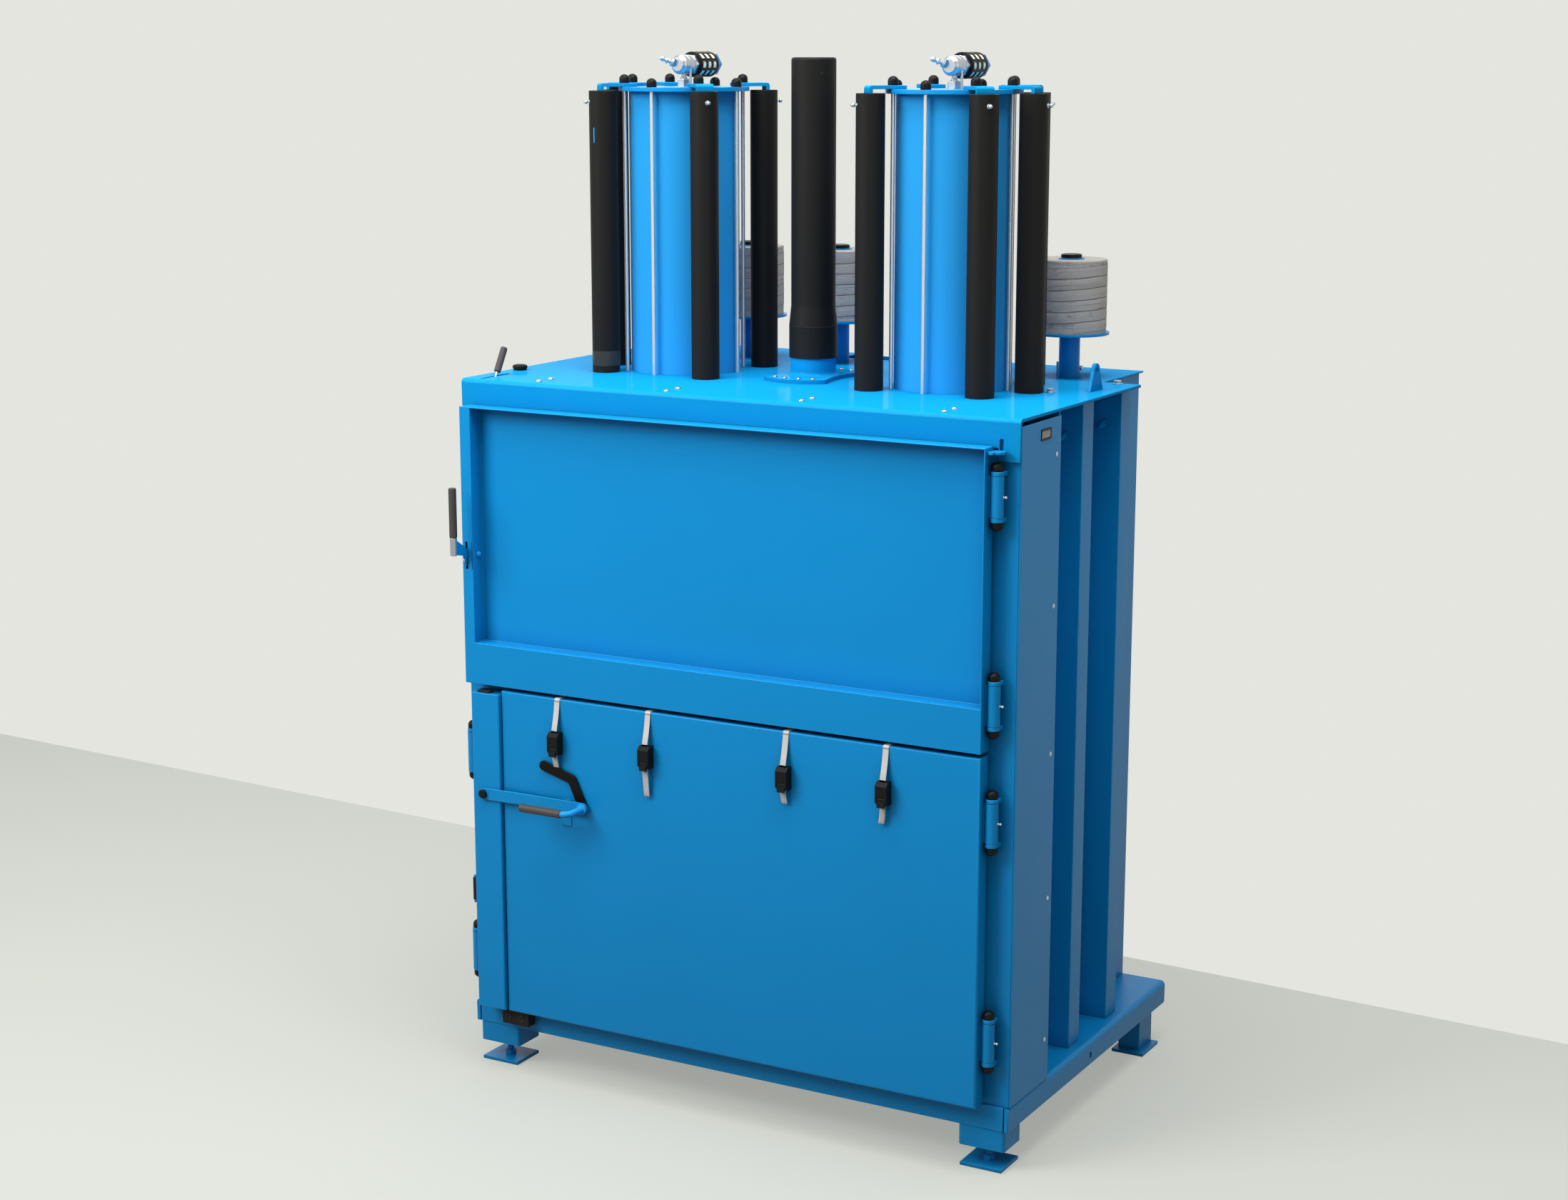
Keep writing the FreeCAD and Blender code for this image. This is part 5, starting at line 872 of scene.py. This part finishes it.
@dataclass
class BaleDoor(Assembly):
    """The lower door, its locking strip and bar, and the cranked lock handle."""

    copies = (
        ("lower_door", "lower_door", PAINT, 1.2, 25.0), ("locking_strip", "frame", PAINT, 1.2, 25.0),
        ("lock_bar", "lower_door", PAINT, 1.1, 12.0),
    )
    kept = ((ZINC, "lock_shaft"),)
    lock: tuple[float, float] = (-350.0, 686.0)
    rod_y: float = -115.1
    rod_radius: float = 7.4
    bend: float = 18.0
    grip_radius: float = 9.6
    grip_length: float = 112.0
    arm_spare: float = 3.0
    cap_x: float = -622.0

    def fit(self) -> None:
        """Make the arm, the handle, the bar's capped bolt and the strip's rubber pad."""
        arm = widened(merged("lock_arm"), self.arm_spare)
        bevel(arm, sharp_edges(arm, 2.0, 35.0), 1.1)
        piece("lock_arm_dressed", "lock", ARM_BLACK, arm, stands_for="lock_arm")
        self.build_handle()
        foot = Vector((self.cap_x * MM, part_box("lock_bar")[0].y + 7.0 * MM, self.lock[1] * MM))
        washer = [(0, 0), (11.4, 0), (11.8, 0.5), (11.4, 1.0), (0, 1.0)]
        piece("bolt_washer", "lower_door", PAINT, lathe(washer, foot, AHEAD, 28))
        piece("bolt_cap", "lower_door", BLACK, lathe(dome(10.4, 6.0, 8.2, 0.6), foot, AHEAD, 28))
        low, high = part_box("locking_strip")
        pad = slab(Vector((-640 * MM, low.y + 4 * MM, high.z)),
                   Vector((-606 * MM, low.y + 22 * MM, high.z + 4.5 * MM)), 1.2)
        piece("strip_pad", "frame", PAD, pad)

    def build_handle(self) -> None:
        """Make the cranked rod with its boss and its shaft, and its grip."""
        x, z = self.lock
        y, bend, radius, start = self.rod_y, self.bend, self.rod_radius, -62.5
        shaft = lathe([(0, 0), (7, 0), (7, 14.5), (0, 14.5)], spot(x, -48.0, z), AHEAD, 24)
        boss = [(0, 0), (12.2, 0), (13, 0.8), (13, 3.2), (12.2, 4), (0, 4)]
        length = start - y - bend
        straight = lathe([(0, 0), (radius, 0), (radius, length), (0, length)], spot(x, start, z), AHEAD, 28)
        elbow = bmesh.new()
        circle = bmesh.ops.create_circle(elbow, segments=28, radius=radius * MM)["verts"]
        turn = Matrix.Translation(spot(x, y + bend, z)) @ Matrix.Rotation(math.radians(90), 4, "X")
        bmesh.ops.transform(elbow, matrix=turn, verts=circle)
        bmesh.ops.spin(elbow, geom=list(elbow.edges) + circle, cent=spot(x - bend, y + bend, z), axis=UP,
                       angle=-math.pi / 2, steps=14)
        bmesh.ops.recalc_face_normals(elbow, faces=elbow.faces)
        piece("lock_handle_bent", "lock", BARREL_PAINT, shaft, lathe(boss, spot(x, -58.5, z), AHEAD, 40),
              straight, elbow, stands_for="lock_handle")
        size, long = self.grip_radius, self.grip_length
        grip = [(0, 0), (size - 2.2, 0), (size - 0.6, 0.8), (size, 2.4), (size, long - 2.4),
                (size - 0.5, long - 0.9), (size - 1.8, long), (0, long)]
        piece("lock_grip_turned", "lock", RUBBER, lathe(grip, spot(x - bend - long, y, z), RIGHT, 36),
              stands_for="lock_grip")


# ---------------- strap ends and clamps


@dataclass
class StrapEnds(Assembly):
    """Strap ends that hang over the bale door, each held by a cam clamp."""

    xs: tuple[float, ...] = (-421.0, -177.0, 177.0, 421.0)
    tails: tuple[float, ...] = (30.0, 65.0, 31.0, 42.0)
    drifts: tuple[float, ...] = (0.0, 0.0, 1.0, -6.0)
    width: float = 14.5
    thick: float = 1.6
    lay: float = 0.3
    door_top: float = 934.0
    clamp_y: float = -59.8
    clamp_foot: float = 806.0
    clamp_half: float = 14.0

    def fit(self) -> None:
        """Make the strap ends, the clamps' housings and their ribbed levers."""
        piece("strap_ends", "lower_door", STRAP, *map(self.ribbon, self.xs, self.tails, self.drifts),
              stands_for="door_straps", crease=60, weighted=False)
        form, half = merged("clamp_bodies"), self.clamp_half
        cheeks = [edge for edge in sharp_edges(form, 4.0, 34.4) if all(
            any(abs(abs(vert.co.x / MM - x) - half) < 0.05 for x in self.xs) for vert in edge.verts)]
        bevel(form, cheeks, 2.2, 4, True)
        piece("clamp_bodies_dressed", "lower_door", BLACK, form, stands_for="clamp_bodies")
        for number in range(1, 5):
            rounded_copy(f"clamp_lever_{number}", f"clamp_{number}", BLACK, 0.4, 6.0, segments=2)
            low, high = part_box(f"clamp_lever_{number}")
            far = Vector((high.x, low.y, low.z))
            piece(f"clamp_ribs_{number}", f"clamp_{number}", BLACK, *(
                slab(moved(low, 1.5, 0.1 + 0.45 * step, 2.5 + 3.2 * step),
                     moved(far, -1.5, 2.2 + 0.45 * step, 3.8 + 3.2 * step), 0.4, 2)
                for step in range(4)))

    def path(self, tail: float) -> Outline:
        """The strap's middle line from the door's top to its tail.

        Args:
            tail: how far it hangs below the clamp, in millimetres.

        Returns:
            (y, z) in millimetres along it.
        """
        face = DOOR_FACE - self.lay - self.thick / 2
        top = self.door_top + self.lay + self.thick / 2
        points = [(-12.5, top), (-26.0, top), (-37.5, top)]
        for step in range(1, 6):
            angle = math.pi / 2 * step / 6
            points.append((-40.0 - 6.1 * math.sin(angle), 929.0 + 6.1 * math.cos(angle)))
        clamp_y, foot = self.clamp_y, self.clamp_foot
        points += [(face, 928.0), (face - 1.5, 915.0), (face - 5.0, 896.0), (face - 9.0, 880.0),
                   (clamp_y, 863.0), (clamp_y, 850.0), (clamp_y, foot)]
        for step in range(1, 7):
            share = step / 6
            points.append((clamp_y + 7.0 * share * share + 1.2 * math.sin(share * 3.0), foot - tail * share))
        return points

    def ribbon(self, x: float, tail: float, drift: float) -> Form:
        """A flat band bent along the strap's path.

        Args:
            x: its middle across the door, in millimetres.
            tail: how far it hangs below the clamp.
            drift: how far its tail leans sideways.

        Returns:
            A bmesh with a UV map along the band.
        """
        form, path = bmesh.new(), self.path(tail)
        rows = len(path)
        layer = form.loops.layers.uv.new("along")
        bmesh.ops.create_grid(form, x_segments=4, y_segments=rows - 1, size=0.5)
        for face in form.faces:
            for loop in face.loops:
                loop[layer].uv = (loop.vert.co.y * rows * 0.008, loop.vert.co.x + 0.5)
        for vert in form.verts:
            y, z = path[min(max(int(round((vert.co.y + 0.5) * (rows - 1))), 0), rows - 1)]
            lean = drift * max(0.0, (self.clamp_foot - z) / 40.0) ** 2
            vert.co = spot(x + vert.co.x * self.width + lean, y, z)
        bmesh.ops.solidify(form, geom=list(form.faces), thickness=self.thick * MM)
        bmesh.ops.recalc_face_normals(form, faces=form.faces)
        return form


# ---------------- press cylinders


@dataclass
class Cylinders(Assembly):
    """Press cylinders with their rods, spring tubes, air fittings and silencers."""

    copies = (
        ("cylinder_heads", "frame", PAINT, 1.0, 0.5, 60.0, 2), ("silencer_caps", "frame", ANODISED, 1.2, 8.0),
    )
    kept = ((BARREL_PAINT, "cylinder_barrels"), (TIE_ROD, "tie_rods"), (BLACK, "silencer_bodies"))
    spread: float = 345.0
    axis_y: float = 405.0
    rod_circle: float = 140.0
    tube_circle: float = 191.0
    lug_angles: tuple[int, ...] = (0, 45, 135, 225, 315)
    head_top: float = 2298.5
    lug_thick: float = 8.0
    bend_reach: float = 195.0
    tee_level: float = 2348.0

    def around(self, side: int, circle: float, angle: float) -> tuple[float, float]:
        """A place on a circle round one cylinder's axis, in millimetres."""
        turned = math.radians(angle)
        return self.spread * side + circle * math.cos(turned), self.axis_y + circle * math.sin(turned)

    def lugs(self, side: int) -> list[int]:
        """The angles of one cylinder's lugs, the left one a mirror image."""
        return [angle if side > 0 else (180 - angle) % 360 for angle in self.lug_angles]

    def fit(self) -> None:
        """Make the lugs, the tees and silencers, the cap nuts, the tubes and the sight."""
        form = merged("head_lugs")
        bend = [edge for edge in sharp_edges(form, 20.0, -1.0) if all(
            vert.co.z > (self.head_top + self.lug_thick - 0.5) * MM and self.reach_of(vert.co) > self.bend_reach
            for vert in edge.verts)]
        bevel(form, bend, 7.0, 5)
        bevel(form, sharp_edges(form, 12.0, 35.0), 1.0)
        piece("head_lugs_dressed", "frame", HOOD_PAINT, form, stands_for="head_lugs")
        self.build_tees()
        self.build_cap_nuts()
        self.build_tubes()
        self.build_sight()

    def reach_of(self, place: Vector) -> float:
        """How far a place is from the nearer cylinder's axis, in millimetres."""
        side = math.copysign(self.spread * MM, place.x)
        return math.hypot(place.x - side, place.y - spot(0, self.axis_y, 0).y) / MM

    def build_tees(self) -> None:
        """Make plated tees: hexagon foot, neck, post, turned body, hexagon ring and hose nipple."""
        post_ahead, front, back = 18.0, self.axis_y - 29.0, self.axis_y + 35.0
        body = [(0, 0), (14.6, 0), (16, 1.2), (16, 4.6), (18, 5.4), (21.2, 8.6), (22, 10.6), (22, 22),
                (21.3, 23), (21.3, 25), (22, 26), (22, 44), (20.4, 46), (20.4, 50), (22, 51), (22, 54),
                (0, 54)]
        collar = [(0, 54), (22.4, 54), (24, 55.4), (24, 62.6), (22.4, 64), (0, 64)]
        barb = [(0, 12), (9.4, 12), (9.4, 18), (7.0, 19.6), (5.0, 20.4), (5.0, 25), (7.8, 26), (7.8, 29.4),
                (5.2, 30.6), (4.6, 33.5), (5.8, 35.2), (6.0, 38.6), (5.4, 42.4), (3.4, 44.6), (0, 45)]
        front_ring = [(20.5, 0.2), (24.9, 0.2), (24.9, 6), (20.5, 6), (20.5, 0.2)]
        metal, felts, fronts = [], [], []
        for side in SIDES:
            x, level = self.spread * side, self.tee_level
            foot = spot(x, self.axis_y, self.head_top)
            metal += [
                lathe([(0, 0), (16, 0), (16, 15.8), (14.4, 17), (0, 17)], foot, steps=6),
                lathe([(0, 16), (8, 17), (8, 20), (6, 22), (6, 49), (0, 49)], foot, steps=24),
                lathe([(0, 0), (3, 0), (3, 49), (0, 49)], moved(foot, post_ahead, 0, 0), steps=16),
                lathe(body, spot(x, front, level), BACK, 48),
                lathe(collar, spot(x, front, level), BACK, 6),
                lathe(barb, spot(x, self.axis_y - 24.0, level), (-0.75, -0.55, 0.35), 28),
            ]
            start = spot(x, back, level)
            fronts.append(lathe(front_ring, start, BACK, 40))
            felts.append(lathe([(0, 6.2), (27.2, 6.2), (27.2, 74.5), (0, 74.5)], start, BACK, 48))
        piece("air_tees_turned", "frame", CHROME, *metal, stands_for="air_tees")
        piece("silencer_fronts", "frame", BLACK, *fronts)
        piece("silencer_cores", "frame", FELT, *felts, stands_for="silencer_felts")

    def build_cap_nuts(self) -> None:
        """Make domed caps over the nuts of the tie rods."""
        caps = []
        for side in SIDES:
            for angle in range(0, 360, 45):
                top = self.head_top + (self.lug_thick if angle in self.lugs(side) else 0)
                x, y = self.around(side, self.rod_circle, angle)
                caps.append(lathe(dome(11.8, 9, 20, 1.0), spot(x, y, top), UP, 24))
        piece("cap_nuts_domed", "frame", BLACK, *caps, stands_for="cap_nuts")

    def build_tubes(self) -> None:
        """Make spring tubes with rolled top edges, and their balled pins."""
        tube = [(29, 0), (32, 0), (32, 8), (32, 320), (32, 642.6), (31.6, 643.6), (30.8, 644), (0, 644)]
        pin = [(0, 0), (5.2, 0), (5.2, 0.9), (2.4, 1.2), (2.4, 3.6), (3.9, 4.6), (4.9, 6.6), (4.9, 9.2),
               (3.8, 11.4), (2.0, 12.7), (0, 13.0)]
        tubes, pins = [], []
        for side in SIDES:
            for angle in self.lugs(side):
                x, y = self.around(side, self.tube_circle, angle)
                tubes.append(lathe(tube, spot(x, y, HOOD_TOP), UP, 40))
                way = Vector((math.cos(math.radians(angle)), math.sin(math.radians(angle)), 0))
                pins.append(lathe(pin, moved(spot(x, y, 2265.0), *(way * 31.6)), way, 18))
        piece("spring_tubes_rolled", "frame", TUBE_BLACK, *tubes, stands_for="spring_tubes")
        piece("tube_pins_balled", "frame", CHROME, *pins, stands_for="tube_pins")

    def build_sight(self) -> None:
        """Make the clear band and the slot mark of the front left tube."""
        x, y = self.around(-1, self.tube_circle, 225)
        film = [(32.1, 0), (32.7, 0.3), (32.7, 33.7), (32.1, 34), (32.1, 0)]
        piece("sight_band", "frame", FILM, lathe(film, spot(x, y, 1662.0), UP, 40))
        turn = math.radians(262)
        centre = moved(spot(x, y, 2190.0), 32.0 * math.cos(turn), 32.0 * math.sin(turn), 0)
        mark = slab(moved(centre, -1.3, -0.5, -17), moved(centre, 1.3, 0.5, 17), 0.45, 2)
        piece("tube_slot", "frame", BARREL_PAINT, mark)


@dataclass
class Guide(Assembly):
    """The guide column's flange and sleeve between the cylinders."""

    copies = (("guide_flange", "frame", HOOD_PAINT, 1.2, 20.0),)
    kept = ((TUBE_BLACK, "guide_sleeve"),)
    axis_y: float = 398.0
    flange_top: float = 1655.0
    bolt_circle: float = 104.0
    bolt_angles: tuple[int, ...] = (62, 80, 100, 118, 242, 260, 280, 298)

    def fit(self) -> None:
        """Make the flange's bolts, a near-black disc of painted shade for the sleeve's hole, and the sleeve's
        seam.
        """
        bolts = []
        for angle in map(math.radians, self.bolt_angles):
            x, y = self.bolt_circle * math.cos(angle), self.axis_y + self.bolt_circle * math.sin(angle)
            bolts.append(lathe(dome(5.5, 1.4, 4.2, 0.4), spot(x, y, self.flange_top), UP, 16))
        piece("flange_bolts", "frame", ZINC, *bolts)
        # The sleeve's hole is a thin near-black disc: painted shade.
        hole = lathe([(0, 0.3), (3.4, 0.3), (3.4, 0), (0, 0)], spot(38.0, self.axis_y - 33.3, 2330.0),
                     (38.0, -33.3, 0), 16)
        piece("sleeve_hole_shade", "frame", SHADE_IN_HOLES, hole)
        low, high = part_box("guide_sleeve")
        middle = (low + high) / 2
        seam = lathe([(55.0, 0), (55.3, 0.4), (55.3, 2.2), (55.0, 2.6), (55.0, 0)],
                     Vector((middle.x, middle.y, 1765.0 * MM)), UP, 48)
        piece("sleeve_seam", "frame", TUBE_BLACK, seam)


# ---------------- strap reels


@dataclass
class Reels(Assembly):
    """Four reels of strap on posts."""

    copies = (("reel_posts", "frame", PAINT, 0.8, 0.5, 60.0, 2),)
    xs: tuple[float, ...] = (-353.0, -105.0, 247.0, 495.0)
    axis_y: float = 721.0
    low: float = 1749.3
    tall: float = 165.0
    inner: float = 20.5
    outer: float = 82.3
    band: float = 24.3
    band_thick: float = 0.7
    pitch: float = 25.0
    turns: float = 5.5
    bumps: tuple[float, ...] = (0.0, 0.35, -0.15, 0.45, 0.1, 0.5, 0.2)
    core_rows: int = 44
    core_rings: int = 18

    def fit(self) -> None:
        """Make the black caps over thin blue discs, and the wound reels."""
        low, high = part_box("reel_caps")
        feet = [Vector((x * MM, (low.y + high.y) / 2, low.z)) for x in self.xs]
        disc = [(0, 0), (29.4, 0), (30, 0.5), (30, 1.5), (29.4, 2.0), (0, 2.0)]
        cap = [(0, 2), (23.2, 2), (24, 2.8), (24, 8.4), (23.1, 10.1), (21, 10.8), (19.4, 10.8), (18.8, 10),
               (0, 10)]
        for name, finish, outline, node in (("reel_discs", PAINT, disc, "reel_caps"),
                                            ("reel_caps_turned", BLACK, cap, "")):
            piece(name, "frame", finish, *(lathe(outline, foot, UP, 40) for foot in feet), stands_for=node)
        for number, x in enumerate(self.xs, start=1):
            piece(f"reel_{number}_wound", f"reel_{number}", REEL, self.core(x), self.winding(x, number),
                  stands_for=f"strap_reel_{number}", crease=50, weighted=False)

    def core(self, x: float) -> Form:
        """The wound layers below the outer band, with their edges showing on the faces.

        Args:
            x: the reel's middle, in millimetres.

        Returns:
            A turned bmesh with a UV map.
        """
        outline = [(self.inner, 0.0), (self.outer, 0.0)]
        for row in range(self.core_rows + 1):
            dent = 0.5 if row % 4 == 2 else 0.0
            outline.append((self.outer - dent, self.tall * (0.01 + 0.98 * row / self.core_rows)))
        rim = self.outer - 0.6
        outline.append((rim, self.tall))
        for ring in range(self.core_rings):
            radius = rim - (rim - self.inner) * (ring + 0.5) / self.core_rings
            outline.append((radius, self.tall - (0.9 if ring % 2 else 0.0)))
        outline += [(self.inner, self.tall - 0.4), (self.inner, 0.0)]
        form = lathe(outline, spot(x, self.axis_y, self.low), UP, 72)
        self.lay_uv(form, x)
        return form

    def winding(self, x: float, number: int) -> Form:
        """The outer band, wound as a screw, its turns a little uneven.

        Args:
            x: the reel's middle, in millimetres.
            number: which reel, so that no two lie alike.

        Returns:
            A bmesh with a UV map along the band.
        """
        form = bmesh.new()
        layer = form.loops.layers.uv.new("along")
        bmesh.ops.create_grid(form, x_segments=6, y_segments=int(self.turns * 60), size=0.5)
        length = self.turns * math.tau * self.outer * MM
        for face in form.faces:
            for loop in face.loops:
                place = loop.vert.co
                loop[layer].uv = ((place.y + 0.5) * length + number, place.x + 0.5)
        start = self.low + (self.tall - self.pitch * self.turns) / 2
        for vert in form.verts:
            turn = (vert.co.y + 0.5) * self.turns
            angle = math.tau * turn + number * 1.3
            bump = self.bumps[int(turn) % len(self.bumps)]
            wave = 0.5 * math.sin(angle * 2 + number) + 0.3 * math.sin(angle * 5 + number * 2)
            lift = 0.6 * math.sin(angle * 3 + number * 0.7) + 0.35 * math.sin(angle * 7 + turn)
            belly = 0.35 * math.cos(math.pi * vert.co.x)
            radius = self.outer + 0.35 + belly + max(0.0, bump * 0.5 + wave * 0.5)
            height = start + self.pitch * turn + vert.co.x * self.band + lift
            height = min(max(height, self.low + 0.4), self.low + self.tall - 0.4)
            vert.co = spot(x + radius * math.cos(angle), self.axis_y + radius * math.sin(angle), height)
        bmesh.ops.recalc_face_normals(form, faces=form.faces)
        bmesh.ops.solidify(form, geom=list(form.faces), thickness=-self.band_thick * MM)
        return form

    def lay_uv(self, form: Form, x: float) -> None:
        """Lay the UV map: along the turn in metres, across in band widths.

        Args:
            form: the bmesh.
            x: the reel's middle, in millimetres.
        """
        layer = form.loops.layers.uv.new("along")
        centre = spot(x, self.axis_y, 0)
        for face in form.faces:
            middle = face.calc_center_median() - centre
            base = math.atan2(middle.y, middle.x)
            for loop in face.loops:
                place = loop.vert.co - centre
                angle = math.atan2(place.y, place.x)
                angle += math.tau * round((base - angle) / math.tau)
                across = (place.z / MM - self.low) / self.pitch - angle / math.tau
                if abs(face.normal.z) > 0.7:
                    across = place.to_2d().length / MM / 6.0
                loop[layer].uv = (angle * self.outer * MM, across)


# ---------------- fittings on the hood, and the press


@dataclass
class HoodFittings(Assembly):
    """Lifting lugs, bolts, lever, push button and the shut-off valve."""

    copies = (("lifting_lugs", "frame", HOOD_PAINT, 1.3, 8.0),)
    kept = ((ZINC, "hood_bolts", "valve_block", "lever_stem"), (BLACK, "valve_knob"))
    bolt_xs: tuple[float, ...] = (-510.0, -170.0, 170.0, 510.0)
    bolt_ys: tuple[float, ...] = (35.0, 83.0)
    lever_lean: float = 30.0
    button_top: float = 14.0

    def fit(self) -> None:
        """Make the bolts' round heads, the lever's grip and the mushroom push button in its collar."""
        feet = [spot(x, y, HOOD_TOP) for x in self.bolt_xs for y in self.bolt_ys]
        head = dome(7.3, 0.7, 4.4, 0.3)
        piece("hood_bolt_heads", "frame", CHROME, *(lathe(head, foot, UP, 20) for foot in feet))
        lean = math.radians(self.lever_lean)
        way = Vector((0, math.sin(lean), math.cos(lean)))
        grip = [(0, 0), (5.4, 0), (7.4, 1.0), (8.0, 3.0), (8.0, 57.5), (7.4, 60.2), (5.6, 61.7), (0, 62.0)]
        foot = moved(spot(-654.5, 57.0, 1620.0), *(way * 40.0))
        piece("lever_grip_turned", "control_lever", RUBBER, lathe(grip, foot, way, 28),
              stands_for="lever_grip")
        low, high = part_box("push_button")
        middle = (low + high) / 2
        foot = Vector((middle.x, middle.y, high.z - self.button_top * MM))
        button = [(0, -11), (8, -11), (8, 9.4), (15.9, 9.4), (15.9, 4.3), (17.1, 4.3), (17.5, 4.9),
                  (17.5, 8.6), (17, 10.4), (15, 12.2), (10, 13.5), (5, 13.9), (0, self.button_top)]
        collar = [(8.4, 0), (15.4, 0), (15.4, 4.6), (14.6, 5.2), (8.4, 5.2), (8.4, 0)]
        piece("push_button_turned", "push_button", BLACK, lathe(button, foot, UP, 40),
              stands_for="push_button")
        piece("button_collar", "frame", BLACK, lathe(collar, foot, UP, 40))


class Press(Assembly):
    """The platen and the rods that drive it, inside the chamber."""

    copies = (("platen", "press", PAINT, 1.5, 40.0),)
    kept = ((ROD, "press_rods"),)


# ---------------- stage


@dataclass
class Stage:
    """Floor, background, lights and camera."""

    left_end: tuple[float, float] = (-3.985, 1.273)
    right_end: tuple[float, float] = (1.574, 0.975)
    floor_seen: Colour = (217, 220, 211)
    floor_paint: Colour = (204, 206, 198)
    floor_bounce: Colour = (112, 112, 108)
    floor_share: float = 0.5
    wall_colour: Colour = (228, 229, 223)
    sky_colour: Colour = (236, 240, 245)
    sky_strength: float = 0.27
    reach: float = 14.0
    sunk: float = 0.0006
    lens: float = 60.68
    eye: tuple[float, float, float] = (2.8931, -4.8907, 2.3925)
    look_down: float = 11.862
    look_left: float = 29.315
    lamps = (
        ("key", (-2.6, -3.9, 4.3), (0.0, 0.0, 1.3), 2.8, 215.0),
        ("top", (0.5, -0.9, 5.4), (0.0, 0.1, 1.0), 3.6, 240.0),
        ("back", (-3.0, 4.8, 3.4), (0.0, 0.3, 1.2), 3.0, 24.0),
        ("fill", (4.4, -3.4, 2.2), (0.2, 0.0, 1.1), 3.0, 16.0),
    )

    def build(self) -> None:
        """Make the whole stage."""
        near = self.ground("floor", 1, self.floor_seen, self.floor_share)
        far = self.ground("backdrop", -1, self.wall_colour, 1.0)
        self.build_world()
        for row in self.lamps:
            self.lamp(*row)
        self.build_camera()

    def ground(self, name: str, side: int, seen: Colour, share: float) -> bpy.types.Object:
        """One half of the ground, cut along the foot of the wall.

        Args:
            name: the object's name.
            side: 1 for the near half, -1 for the far half.
            seen: the even tone that the camera sees partly.
            share: how much of it the camera sees, from 0 to 1.

        Returns:
            The new object.
        """
        first = Vector((*self.left_end, 0))
        along = (Vector((*self.right_end, 0)) - first).normalized()
        form = bmesh.new()
        bmesh.ops.create_grid(form, x_segments=1, y_segments=1, size=self.reach)
        bmesh.ops.bisect_plane(
            form, geom=[*form.verts, *form.edges, *form.faces], plane_co=first,
            plane_no=Vector((-along.y, along.x, 0)) * side, clear_outer=True,
        )
        form.transform(Matrix.Translation((0, 0, -self.sunk)))
        mesh = bpy.data.meshes.new(name)
        form.to_mesh(mesh)
        form.free()
        made, net, shader = new_material(f"{name}_pale")
        tint = net.blend(net.seen_directly(), linear(*self.floor_bounce), linear(*self.floor_paint))
        net.fill(shader, {"Base Color": tint, "Roughness": 0.9, "Specular IOR Level": 0.1})
        shown = net.math("MULTIPLY", net.seen_directly(), share)
        glow = net.add("Emission", {"Color": linear(*seen)})["Emission"]
        net.mix_surface(shown, shader.outputs["BSDF"], glow)
        mesh.materials.append(made)
        return added(name, mesh)

    def build_world(self) -> None:
        """Make a pale surround for the camera and a plain soft light for the object."""
        world = bpy.data.worlds.new("surround")
        bpy.context.scene.world = world
        world.use_nodes = True
        net = Net(world.node_tree)
        plain = net.fill(net.tree.nodes["Background"], {
            "Color": linear(*self.sky_colour), "Strength": self.sky_strength}).outputs["Background"]
        shown = net.add("Background", {"Color": linear(*self.wall_colour)})["Background"]
        net.mix_surface(net.seen_directly(), plain, shown)

    def lamp(self, name: str, at: tuple, aim: tuple, size: float, power: float) -> None:
        """Hang a soft square lamp.

        Args:
            name: the lamp's name.
            at: where it hangs.
            aim: the point it faces.
            size: its side in metres.
            power: in watts.
        """
        light = bpy.data.lights.new(name, "AREA")
        light.size = size
        light.energy = power
        made = added(name, light)
        made.location = at
        made.rotation_euler = (Vector(aim) - Vector(at)).to_track_quat("-Z", "Y").to_euler()

    def build_camera(self) -> None:
        """Set the camera at the photograph's viewing angle."""
        lens = bpy.data.cameras.new("camera")
        lens.lens = self.lens
        lens.sensor_fit = "HORIZONTAL"
        made = added("camera", lens)
        made.location = self.eye[0], FRONT + self.eye[1], self.eye[2]
        made.rotation_euler = (math.radians(90 - self.look_down), 0, math.radians(self.look_left))
        bpy.context.scene.camera = made


def main() -> None:
    """Build the machine and its stage in order."""
    logging.basicConfig(level=logging.INFO, format="%(name)s: %(message)s")
    bpy.context.scene.view_settings.view_transform = "Standard"
    Stage().build()
    for assembly in (Base(), Housing(), Hinges(), LoadingDoor(), BaleDoor(), StrapEnds(), Cylinders(),
                     Guide(), Reels(), HoodFittings(), Press()):
        assembly.build()
        LOG.info("%s is built", type(assembly).__name__)


if __name__ == "__main__":
    main()
